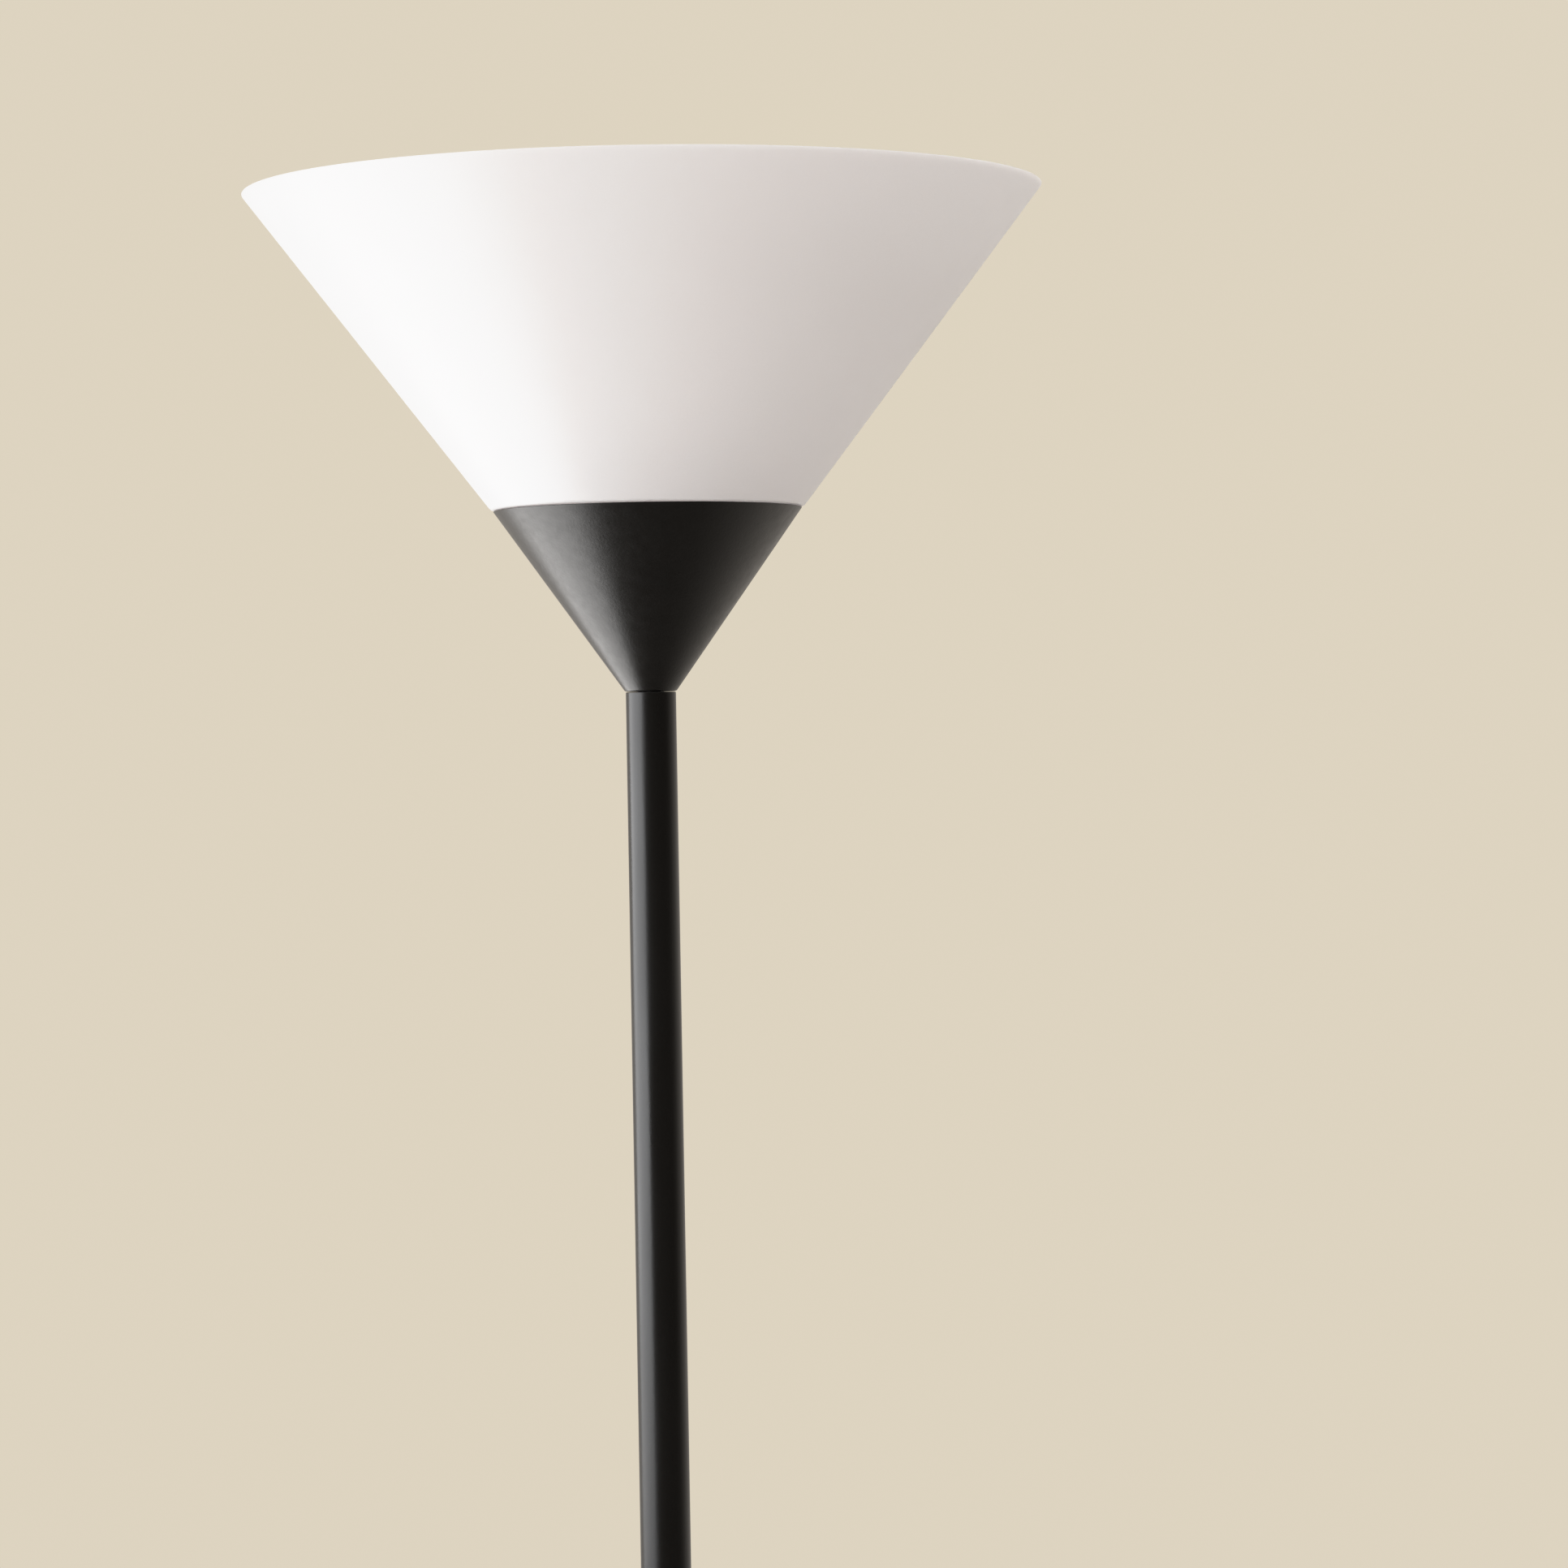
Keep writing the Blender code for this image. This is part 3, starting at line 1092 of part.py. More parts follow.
def make_lead(name, side, sleeve):
    """One insulated wire, from a switch terminal up the top section to a lampholder terminal."""
    half = FRAME_HEIGHT / 2
    terminal_y = SWITCH_BODY_BACK_Y + TERMINAL_STAND + TERMINAL_THICKNESS / 2
    terminal_top = SWITCH_Z + TERMINAL_HEIGHT - 0.0025
    nipple_foot = SWITCH_Z + half - FRAME_THICKNESS - CONTACT_GAP - FRAME_NUT_HEIGHT - FRAME_NIPPLE_TAIL
    nipple_head = SWITCH_Z + half + JOINT_REACH
    near = side * LEAD_SPACING
    run = TOP_SECTION_LENGTH
    holder_x = side * (TERMINAL_SCREW_X - TERMINAL_SCREW_HEAD_RADIUS - CONTACT_GAP - LEAD_RADIUS)
    holder_z = CUP_FOOT_Z + INSERT_LEVEL - CONTACT_GAP - TERMINAL_SCREW_HEAD_HEIGHT
    waypoints = [
        Vector((side * TERMINAL_X, terminal_y, terminal_top + 2 * CONTACT_GAP)),
        Vector((side * TERMINAL_X * 0.8, terminal_y * 0.7, terminal_top + 0.003)),
        Vector((near, 0, nipple_foot + 0.001)),
        Vector((near, 0, nipple_head)),
        Vector((near - LEAD_WANDER, LEAD_WANDER, nipple_head + run * 0.2)),
        Vector((near + LEAD_WANDER, -LEAD_WANDER, nipple_head + run * 0.5)),
        Vector((near, LEAD_WANDER, nipple_head + run * 0.75)),
        Vector((near, 0, CUP_FOOT_Z - JOINT_REACH - 0.004)),
        Vector((near, 0, CUP_FOOT_Z + HEAD_NIPPLE_TOP_LEVEL + 0.001)),
        Vector((holder_x, 0, holder_z)),
    ]
    curve = bpy.data.curves.new(name, "CURVE")
    curve.dimensions = "3D"
    curve.bevel_depth = LEAD_RADIUS
    curve.bevel_resolution = 2
    curve.use_fill_caps = True
    route = smooth_route(waypoints, 4)
    spline = curve.splines.new("POLY")
    spline.points.add(len(route) - 1)
    for point, place in zip(spline.points, route):
        point.co = (*place, 1)
    curve.materials.append(sleeve)
    bpy.context.scene.collection.objects.link(bpy.data.objects.new(name, curve))


def clear_scene():
    for old in list(bpy.data.objects):
        bpy.data.objects.remove(old)


def main():
    clear_scene()
    base = datum("base_datum", 0)
    make_base_cover(base)
    make_base_weight(base)
    make_base_fixings(base)
    make_foot_pads(base)
    make_cord_gland(base)
    make_pole()
    make_switch()
    make_head()
    make_bulb()
    make_shade()
    make_lead("lead_live", -1, brown_sleeve())
    make_lead("lead_neutral", 1, white_sleeve())


main()
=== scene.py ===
"""Torchiere floor lamp: the finished pieces and their materials, built round the packed frame.

Each operator makes one piece or a group of like pieces. Sizes are in metres, +Z is up, the lamp stands on
the floor z = 0 with its pole on the Z axis, the switch knob faces -Y and the cord gland faces +Y.
"""

import json
import math

import bmesh
import bpy
from bpy.props import FloatProperty, FloatVectorProperty, IntProperty, PointerProperty
from mathutils import Matrix, Vector

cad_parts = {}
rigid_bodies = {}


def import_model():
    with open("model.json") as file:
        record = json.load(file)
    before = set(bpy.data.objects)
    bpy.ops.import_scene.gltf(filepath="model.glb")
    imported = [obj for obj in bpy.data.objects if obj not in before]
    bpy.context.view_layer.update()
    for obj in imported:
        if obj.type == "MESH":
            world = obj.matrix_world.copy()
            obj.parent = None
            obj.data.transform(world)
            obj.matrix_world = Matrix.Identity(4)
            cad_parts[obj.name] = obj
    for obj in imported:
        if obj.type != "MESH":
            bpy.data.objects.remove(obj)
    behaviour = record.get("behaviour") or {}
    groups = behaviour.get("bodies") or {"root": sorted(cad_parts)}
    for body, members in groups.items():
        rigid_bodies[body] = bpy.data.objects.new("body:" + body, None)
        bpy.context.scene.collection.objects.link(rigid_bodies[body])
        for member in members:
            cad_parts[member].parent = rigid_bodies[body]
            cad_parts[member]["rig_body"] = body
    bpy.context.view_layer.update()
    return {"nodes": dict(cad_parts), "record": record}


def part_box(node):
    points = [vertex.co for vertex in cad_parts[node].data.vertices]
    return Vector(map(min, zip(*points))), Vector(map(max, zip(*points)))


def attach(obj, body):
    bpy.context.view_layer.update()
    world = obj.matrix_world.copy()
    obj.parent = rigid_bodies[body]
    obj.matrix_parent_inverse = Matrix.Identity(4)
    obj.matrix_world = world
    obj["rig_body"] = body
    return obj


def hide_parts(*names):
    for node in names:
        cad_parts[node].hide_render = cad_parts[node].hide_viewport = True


bl_info = {
    "name": "Torchiere Floor Lamp",
    "version": (1, 0, 0),
    "blender": (4, 5, 0),
    "location": "View3D > Sidebar > Torchiere",
    "description": "Builds a torchiere floor lamp round its frame, one piece or group of pieces at a time",
    "category": "Object",
}

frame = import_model()
NODES = frame["nodes"]
SLOT_OF = {row["node"]: row["material_slot"] for row in frame["record"]["subparts"]}


# What the frame says ---------------------------------------------------------------------------------


def radius_of(node):
    """Radius of a frame piece that is turned round an upright axis."""
    low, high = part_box(node)
    return (high.x - low.x) / 2


def foot_of(node):
    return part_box(node)[0].z


def top_of(node):
    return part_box(node)[1].z


def middle_of(node):
    low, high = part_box(node)
    return (low + high) / 2


POLE_RADIUS = radius_of("pole_top_section")
CUP_FOOT = foot_of("cup")
CUP_RIM = top_of("cup")
SWITCH_LEVEL = middle_of("switch_case_front").z
LOWER_SECTIONS = 3
FOOT_PADS = 4
NUT_ACROSS_FLATS = 0.014
NUT_BORE = 0.0052
CUP_FOOT_OVERLAP = 0.0002
BULB_CAP_WALL = 0.0008
ASSEMBLY_GAP = 0.0003


# Sizes and colours that a user can change -------------------------------------------------------------


def length(name, default, description):
    return FloatProperty(
        name=name, description=description, default=default, min=0.0, unit="LENGTH", precision=5
    )


def number(name, default, description):
    return IntProperty(name=name, description=description, default=default, min=4, max=512)


def colour(name, default, description):
    return FloatVectorProperty(
        name=name, description=description, default=default, min=0.0, max=1.0, subtype="COLOR"
    )


class ShadeSizes(bpy.types.PropertyGroup):
    """The opal cone."""

    wall: length("Wall", 0.0020, "Thickness of the moulded wall")
    overhang: length("Overhang", 0.0007, "How far the shoulder stands out past the cup's rim")
    seat_gap: length("Seat gap", 0.0003, "Gap between the shoulder and the cup's rim")
    spigot_clearance: length("Spigot clearance", 0.0018, "Room between the spigot and the cup")
    rim_ease: length("Rim rounding", 0.0004, "Rounding of the rim's two edges")
    shoulder_ease: length("Shoulder rounding", 0.0014, "Rounding of the shoulder above the cup")
    sides: number("Sides", 256, "Steps round the cone")


class CupSizes(bpy.types.PropertyGroup):
    """The spun steel cone under the shade."""

    wall: length("Wall", 0.0010, "Thickness of the sheet")
    floor: length("Floor", 0.0012, "Thickness of the cup's floor")
    hole: length("Hole radius", 0.0053, "Radius of the hole for the nipple")
    lip_ease: length("Lip rounding", 0.0003, "Rounding of the rim")
    foot_ease: length("Foot rounding", 0.0006, "Rounding where the cone ends on the pole")
    sides: number("Sides", 256, "Steps round the cone")


class PoleSizes(bpy.types.PropertyGroup):
    """The tubes of the pole and the threaded tube that joins them."""

    wall: length("Wall", 0.0008, "Thickness of the tube")
    end_ease: length("End rounding", 0.0003, "Rounding of each tube's ends")
    nipple_radius: length("Thread radius", 0.0050, "Radius of the threaded tube over its thread")
    nipple_bore: length("Thread bore", 0.0036, "Radius of the threaded tube's bore")
    thread_pitch: length("Thread pitch", 0.0010, "Rise of the thread in one turn")
    thread_depth: length("Thread depth", 0.0003, "Depth of the thread")
    sides: number("Sides", 128, "Steps round the tubes")


class BaseSizes(bpy.types.PropertyGroup):
    """The round foot."""

    cover_wall: length("Cover wall", 0.0009, "Thickness of the spun cover")
    edge_height: length("Edge height", 0.022, "Height of the cover where its crown starts")
    edge_fillet: length("Edge rounding", 0.008, "Radius of the cover's outer edge")
    top_flat: length("Top flat", 0.016, "Radius of the flat that the pole stands on")
    hole: length("Hole radius", 0.0053, "Radius of the hole for the nipple")
    pad_ease: length("Pad rounding", 0.0006, "Rounding of the foot pads")
    sides: number("Sides", 256, "Steps round the cover")


class SwitchSizes(bpy.types.PropertyGroup):
    """The switch on the pole."""

    wall: length("Case wall", 0.0020, "Thickness of the moulded case")
    end_ease: length("Case rounding", 0.0040, "Rounding of the case's two ends")
    boss_radius: length("Boss radius", 0.0090, "Radius of the round boss behind the knob")
    post_radius: length("Post radius", 0.0028, "Radius of the posts that the screws go through")
    post_inset: length("Post inset", 0.0031, "From the case's bore to a post's axis")
    flutes: number("Flutes", 12, "Flutes round the knob's grip")
    flute_depth: length("Flute depth", 0.0006, "Depth of the knob's flutes")
    grip_depth: length("Grip depth", 0.0075, "Length of the knob's grip")
    sides: number("Sides", 96, "Steps round the case")


class HolderSizes(bpy.types.PropertyGroup):
    """The E26 lampholder."""

    wall: length("Wall", 0.0020, "Thickness of the moulded shells")
    neck_radius: length("Neck radius", 0.0076, "Radius of the neck on the nipple")
    skirt: length("Skirt", 0.0070, "Height of the cap's straight skirt")
    taper: length("Taper", 0.0010, "How far the body draws in towards its mouth")
    shell_wall: length("Shell wall", 0.0007, "Thickness of the screw shell")
    sides: number("Sides", 128, "Steps round the lampholder")


class BulbSizes(bpy.types.PropertyGroup):
    """The A19 bulb."""

    wall: length("Wall", 0.0015, "Thickness of the diffuser and the body")
    thread_depth: length("Thread depth", 0.0004, "Depth of the E26 thread")
    thread_pitch: length("Thread pitch", 0.0254 / 7, "Rise of the E26 thread in one turn")
    sides: number("Sides", 128, "Steps round the bulb")


class FinishColours(bpy.types.PropertyGroup):
    """Colours of the finishes."""

    powder_coat: colour("Powder coat", (0.0060, 0.0052, 0.0044), "Cup and base cover")
    pole_paint: colour("Pole paint", (0.0058, 0.0052, 0.0044), "Pole tubes")
    black_moulding: colour("Black moulding", (0.0160, 0.0160, 0.0158), "Switch case, lampholder, plate")
    opal: colour("Opal", (0.775, 0.755, 0.764), "Shade")
    bulb_opal: colour("Bulb opal", (0.86, 0.86, 0.85), "The bulb's diffuser")
    white_moulding: colour("White moulding", (0.80, 0.80, 0.79), "The bulb's body and LED plate")
    zinc: colour("Zinc", (0.55, 0.56, 0.58), "Fixings")
    brass: colour("Brass", (0.72, 0.52, 0.22), "Screw shell, terminals and bushing")
    nickel: colour("Nickel", (0.62, 0.60, 0.56), "The bulb's cap, the knob's shaft and nut")
    porcelain: colour("Porcelain", (0.82, 0.80, 0.75), "The lampholder's core")
    concrete: colour("Concrete", (0.36, 0.35, 0.33), "The weight in the base")
    rubber: colour("Rubber", (0.025, 0.025, 0.025), "Foot pads and cord gland")
    brown_sleeve: colour("Brown sleeve", (0.16, 0.07, 0.03), "The live wire")
    white_sleeve: colour("White sleeve", (0.70, 0.70, 0.68), "The neutral wire")
    floor: colour("Floor", (0.47, 0.46, 0.44), "The stage's floor")
    backdrop: colour("Backdrop", (0.733, 0.658, 0.527), "What stands behind the lamp")


# Sections and meshes ----------------------------------------------------------------------------------


def eased(corners, steps=5):
    """A section's points from its corners, given as (radius, height, ease). A corner with an ease is
    rounded by an arc that starts and ends that far from it."""
    points = []
    for i, (radius, height, ease) in enumerate(corners):
        corner = Vector((radius, height))
        if ease == 0:
            points.append(corner)
            continue
        back = (Vector(corners[i - 1][:2]) - corner).normalized()
        ahead = (Vector(corners[(i + 1) % len(corners)][:2]) - corner).normalized()
        half_angle = back.angle(ahead) / 2
        centre = corner + (back + ahead).normalized() * (ease / math.cos(half_angle))
        first, last = corner + back * ease - centre, corner + ahead * ease - centre
        turns = [first.slerp(last, k / steps) for k in range(steps + 1)]
        points += [centre + turn.normalized() * first.length for turn in turns]
    return [tuple(point) for point in points]


def arc(centre_radius, centre_height, radius, start, end, steps):
    """Points of an arc in a section. Angles are in degrees from the outward direction."""
    angles = [math.radians(start + (end - start) * k / steps) for k in range(steps + 1)]
    return [(centre_radius + radius * math.cos(a), centre_height + radius * math.sin(a)) for a in angles]


def dome(inner, outer, low, high, steps):
    """A quarter ellipse in a section, from a neck out to a shoulder."""
    turns = [math.pi / 2 * k / steps for k in range(steps + 1)]
    reach, rise = outer - inner, high - low
    return [(inner + reach * math.sin(a), low + rise * (1 - math.cos(a))) for a in turns]


def spaced(first, last, steps):
    return [first + (last - first) * k / steps for k in range(steps + 1)]


def turned_mesh(name, points, sides, shape=None):
    """A mesh turned round Z from a section of (radius, height) points. A section that starts and ends on
    the axis stays open there, and any other closes on itself. shape moves (radius, height, angle)."""
    work = bmesh.new()
    rings = []
    for radius, height in points:
        if radius < 1e-7:
            rings.append([work.verts.new((0, 0, height))])
            continue
        ring = []
        for k in range(sides):
            angle = math.tau * k / sides
            r, z = shape(radius, height, angle) if shape else (radius, height)
            ring.append(work.verts.new((r * math.cos(angle), r * math.sin(angle), z)))
        rings.append(ring)
    strips = list(zip(rings, rings[1:]))
    if len(rings[0]) > 1 or len(rings[-1]) > 1:
        strips.append((rings[-1], rings[0]))
    for lower, upper in strips:
        for k in range(sides):
            n = (k + 1) % sides
            around = [lower[k % len(lower)], lower[n % len(lower)]]
            around += [upper[n % len(upper)], upper[k % len(upper)]]
            corners = list(dict.fromkeys(around))
            if len(corners) > 2:
                work.faces.new(corners)
    return finished_mesh(name, work)


def prism_mesh(name, outline, low, high):
    """An outline of (x, y) points pushed up Z."""
    work = bmesh.new()
    face = work.faces.new([work.verts.new((x, y, low)) for x, y in outline])
    grown = bmesh.ops.extrude_face_region(work, geom=[face])
    moved = [g for g in grown["geom"] if isinstance(g, bmesh.types.BMVert)]
    bmesh.ops.translate(work, verts=moved, vec=(0, 0, high - low))
    return finished_mesh(name, work)


def finished_mesh(name, work):
    """Turns bmesh work into a mesh whose faces point outwards."""
    bmesh.ops.recalc_face_normals(work, faces=work.faces)
    mesh = bpy.data.meshes.new(name)
    work.to_mesh(mesh)
    work.free()
    return mesh


def carved(mesh, *cuts):
    """The mesh with others taken from it or added to it. Each cut is an operation and a mesh."""
    blank = bpy.data.objects.new(mesh.name, mesh)
    spent = [blank]
    bpy.context.scene.collection.objects.link(blank)
    for operation, tool_mesh in cuts:
        tool = bpy.data.objects.new(tool_mesh.name, tool_mesh)
        bpy.context.scene.collection.objects.link(tool)
        step = blank.modifiers.new(operation, "BOOLEAN")
        step.operation = operation
        step.solver = "EXACT"
        step.object = tool
        spent.append(tool)
    graph = bpy.context.evaluated_depsgraph_get()
    result = bpy.data.meshes.new_from_object(blank.evaluated_get(graph))
    for old in spent:
        bpy.data.objects.remove(old)
    if not result.polygons:
        raise RuntimeError(f"nothing is left of {mesh.name} after its cuts")
    return result


TOWARDS_KNOB = Matrix.Rotation(math.pi / 2, 4, "X")
SHARP_EDGE_ANGLE = math.radians(32)


def show(name, mesh, *nodes, place=None):
    """Shows a mesh in place of the frame nodes that it stands for, on their body and in their finish."""
    if place:
        mesh.transform(place)
    mesh.name = name
    mesh.shade_smooth()
    mesh.set_sharp_from_angle(angle=SHARP_EDGE_ANGLE)
    mesh.materials.clear()
    mesh.materials.append(finish(SLOT_OF[nodes[0]]))
    made = bpy.data.objects.new(name, mesh)
    bpy.context.scene.collection.objects.link(made)
    made.modifiers.new("Even shading", "WEIGHTED_NORMAL").keep_sharp = True
    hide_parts(*nodes)
    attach(made, NODES[nodes[0]]["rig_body"])
    return made


def show_turned(name, node, section, sides, shape=None, place=None):
    """Shows a mesh turned round Z in place of one frame node."""
    show(name, turned_mesh(name, section, sides, shape), node, place=place)


def thread_shape(wall, depth, pitch, first, last, side=-1, datum=0.0, run_out=0.0012):
    """Moves the points at the wall's radius in and out along a right-hand rounded thread. Near its two
    ends the thread runs out to its crest (side 1) or its root (side -1)."""

    def shape(radius, height, angle):
        if abs(radius - wall) > 1e-7:
            return radius, height
        fade = min(1.0, max(0.0, (height - first) / run_out), max(0.0, (last - height) / run_out))
        wave = math.cos(math.tau * (height - datum) / pitch - angle)
        return radius + depth * (fade * wave + (1 - fade) * side), height

    return shape


def threaded_tube_mesh(name, sizes, bore, lower, first, last):
    """A plain lower part, given as section points, then a threaded stretch from first to last."""
    crest = sizes.thread_depth / 2
    wall = sizes.nipple_radius - crest
    steps = math.ceil((last - first) / sizes.thread_pitch * 6)
    points = [(bore, first)] if not lower else [(bore, lower[0][1])] + lower
    points += [(wall, height) for height in spaced(first, last, steps)] + [(bore, last)]
    shape = thread_shape(wall, crest, sizes.thread_pitch, first, last, run_out=sizes.thread_pitch)
    return turned_mesh(name, points, 32, shape)


def nut_mesh(name, bore, across_flats, low, high):
    """A hexagon nut with chamfered corners and a countersunk bore."""
    flat = across_flats / 2
    corner = flat / math.cos(math.pi / 6)
    sink = 0.0005
    middle = (low + high) / 2

    def shape(radius, height, angle):
        if radius < corner - 1e-7:
            return radius, height
        from_corner = (angle + math.pi / 6) % (math.pi / 3) - math.pi / 6
        reach = flat / math.cos(math.pi / 6 - abs(from_corner))
        drop = (reach - flat * 0.97) * math.tan(math.radians(30))
        return reach, height + (drop if height < middle else -drop)

    section = [(bore, low + sink), (bore + sink, low), (flat * 0.97, low), (corner, low)]
    section += [(corner, high), (flat * 0.97, high), (bore + sink, high), (bore, high - sink)]
    return turned_mesh(name, section, 72, shape)


# Finishes ---------------------------------------------------------------------------------------------


class Finish:
    """A Principled material with surface detail that is fixed to the piece."""

    def __init__(self, name, base, roughness, metallic=0.0, **sockets):
        self.material = bpy.data.materials.new(name)
        self.material.use_nodes = True
        self.nodes = self.material.node_tree.nodes
        self.links = self.material.node_tree.links
        self.shader = self.nodes["Principled BSDF"]
        self.base = tuple(base)
        self.shader.inputs["Base Color"].default_value = (*base, 1.0)
        self.shader.inputs["Roughness"].default_value = roughness
        self.shader.inputs["Metallic"].default_value = metallic
        self.shader.inputs["Subsurface Radius"].default_value = (1.0, 0.95, 0.92)
        for socket, value in sockets.items():
            self.shader.inputs[socket.replace("_", " ")].default_value = value
        self.place = self.nodes.new("ShaderNodeTexCoord").outputs["Object"]

    def spread(self, stretch):
        """Coordinates in metres, drawn out along the axes whose stretch is below 1."""
        mapping = self.nodes.new("ShaderNodeMapping")
        mapping.inputs["Scale"].default_value = stretch
        self.links.new(self.place, mapping.inputs["Vector"])
        return mapping.outputs["Vector"]

    def grain(self, per_metre, detail=2.0, stretch=(1, 1, 1), contrast=(0.3, 0.7)):
        """A soft noise with that many grains to the metre, from 0 to 1."""
        noise = self.nodes.new("ShaderNodeTexNoise")
        noise.inputs["Scale"].default_value = per_metre
        noise.inputs["Detail"].default_value = detail
        self.links.new(self.spread(stretch), noise.inputs["Vector"])
        return self.stretch_range(noise.outputs["Fac"], *contrast, 0.0, 1.0)

    def cells(self, per_metre, contrast=(0.0, 0.6)):
        """Round cells, 0 in the middle of each and 1 at its edge."""
        cells = self.nodes.new("ShaderNodeTexVoronoi")
        cells.inputs["Scale"].default_value = per_metre
        self.links.new(self.place, cells.inputs["Vector"])
        return self.stretch_range(cells.outputs["Distance"], *contrast, 0.0, 1.0)

    def stretch_range(self, source, source_low, source_high, low, high):
        ranged = self.nodes.new("ShaderNodeMapRange")
        ranged.inputs["From Min"].default_value = source_low
        ranged.inputs["From Max"].default_value = source_high
        ranged.inputs["To Min"].default_value = low
        ranged.inputs["To Max"].default_value = high
        self.links.new(source, ranged.inputs["Value"])
        return ranged.outputs["Result"]

    def drift(self, source, towards, share=1.0):
        """Lets the colour drift towards another where the source is strong."""
        mix = self.nodes.new("ShaderNodeMix")
        mix.data_type = "RGBA"
        before = self.shader.inputs["Base Color"].links
        if before:
            self.links.new(before[0].from_socket, mix.inputs["A"])
        else:
            mix.inputs["A"].default_value = (*self.base, 1.0)
        mix.inputs["B"].default_value = (*towards, 1.0)
        self.links.new(self.stretch_range(source, 0.0, 1.0, 0.0, share), mix.inputs["Factor"])
        self.links.new(mix.outputs["Result"], self.shader.inputs["Base Color"])
        return self

    def gloss(self, source, low, high):
        """Lets the roughness run from low to high with the source."""
        self.links.new(self.stretch_range(source, 0.0, 1.0, low, high), self.shader.inputs["Roughness"])
        return self

    def relief(self, source, height):
        """Raises the surface by up to that height where the source is strong."""
        bump = self.nodes.new("ShaderNodeBump")
        bump.inputs["Distance"].default_value = height
        self.links.new(source, bump.inputs["Height"])
        before = self.shader.inputs["Normal"].links
        if before:
            self.links.new(before[0].from_socket, bump.inputs["Normal"])
        self.links.new(bump.outputs["Normal"], self.shader.inputs["Normal"])
        return self


def shifted(base, factor):
    """A colour made lighter or darker."""
    return tuple(min(1.0, part * factor) for part in base)


def powder_coat(base):
    made = Finish("Satin powder coat", base, 0.34, IOR=1.55)
    made.drift(made.grain(1500, 3), shifted(base, 2.2), 0.7)
    made.drift(made.grain(30, 3), shifted(base, 0.7), 0.6)
    made.gloss(made.grain(260, 4), 0.31, 0.38)
    return made.relief(made.grain(900, 3), 0.000016).relief(made.grain(2600, 1), 0.000006)


def pole_paint(base):
    made = Finish("Semi-gloss pole paint", base, 0.30, IOR=1.55)
    made.drift(made.grain(1200, 2), shifted(base, 1.7), 0.6)
    made.gloss(made.grain(180, 4, stretch=(1, 1, 0.08)), 0.27, 0.35)
    made.relief(made.grain(700, 2, stretch=(1, 1, 0.25)), 0.000008)
    return made.relief(made.grain(2600, 1), 0.000003)


def black_moulding(base):
    made = Finish("Black spark-textured moulding", base, 0.5)
    made.drift(made.grain(1800, 2), shifted(base, 1.8), 0.6)
    made.gloss(made.grain(400, 3), 0.46, 0.60)
    return made.relief(made.cells(2400), 0.000022).relief(made.grain(900, 2), 0.000012)


def opal_moulding(base):
    made = Finish("Opal moulding", base, 0.34, Subsurface_Weight=1.0, Subsurface_Scale=0.012)
    made.drift(made.grain(14, 2), shifted(base, 0.965), 0.8)
    made.drift(made.grain(1600, 2), shifted(base, 0.97), 0.6)
    made.gloss(made.grain(90, 3), 0.31, 0.38)
    return made.relief(made.grain(1500, 2), 0.000004)


def bulb_opal(base):
    made = Finish("Bulb opal", base, 0.4, Subsurface_Weight=0.6, Subsurface_Scale=0.004)
    made.drift(made.grain(40, 2), shifted(base, 0.96), 0.8)
    made.gloss(made.grain(300, 3), 0.36, 0.46)
    return made.relief(made.grain(1800, 2), 0.000005)


def white_moulding(base):
    made = Finish("White moulding", base, 0.42, Subsurface_Weight=0.1, Subsurface_Scale=0.002)
    made.drift(made.grain(60, 3), shifted(base, 0.94), 0.8)
    made.gloss(made.grain(350, 3), 0.38, 0.50)
    return made.relief(made.grain(2000, 2), 0.00001)


def zinc_plate(base):
    made = Finish("Zinc plate", base, 0.36, 1.0)
    made.drift(made.cells(420, (0.1, 0.9)), (0.66, 0.67, 0.66), 0.7)
    made.drift(made.grain(180, 4), (0.48, 0.47, 0.40), 0.5)
    made.gloss(made.grain(600, 3), 0.27, 0.48)
    return made.relief(made.grain(2200, 2, stretch=(1, 1, 0.3)), 0.000006)


def drawn_brass(base):
    made = Finish("Drawn brass", base, 0.3, 1.0)
    made.drift(made.grain(140, 4), (0.56, 0.38, 0.16), 0.7)
    made.gloss(made.grain(500, 4, stretch=(1, 1, 0.2)), 0.22, 0.42)
    return made.relief(made.grain(2400, 2, stretch=(1, 1, 6)), 0.000004)


def nickel_plate(base):
    made = Finish("Nickel plate", base, 0.24, 1.0)
    made.drift(made.grain(160, 3), (0.70, 0.66, 0.58), 0.7)
    made.gloss(made.grain(700, 4), 0.17, 0.34)
    return made.relief(made.grain(2400, 2, stretch=(1, 1, 6)), 0.000003)


def glazed_porcelain(base):
    made = Finish("Glazed porcelain", base, 0.25, Coat_Weight=0.4, Coat_Roughness=0.1)
    made.drift(made.grain(220, 4), (0.70, 0.66, 0.58), 0.5)
    made.drift(made.cells(500, (0.0, 0.12)), (0.86, 0.84, 0.79), 0.5)
    made.gloss(made.grain(500, 2), 0.2, 0.36)
    return made.relief(made.grain(900, 3), 0.00002)


def cast_concrete(base):
    made = Finish("Cast concrete", base, 0.9)
    made.drift(made.grain(60, 5), shifted(base, 0.62), 0.8)
    made.drift(made.grain(900, 3), shifted(base, 1.45), 0.6)
    made.gloss(made.grain(300, 2), 0.8, 0.98)
    return made.relief(made.grain(350, 5), 0.0006).relief(made.cells(260, (0.0, 0.3)), 0.0004)


def soft_rubber(base):
    made = Finish("Soft rubber", base, 0.8)
    made.drift(made.grain(700, 3), (0.05, 0.05, 0.048), 0.6)
    made.gloss(made.grain(300, 3), 0.7, 0.9)
    return made.relief(made.grain(1600, 3), 0.00003)


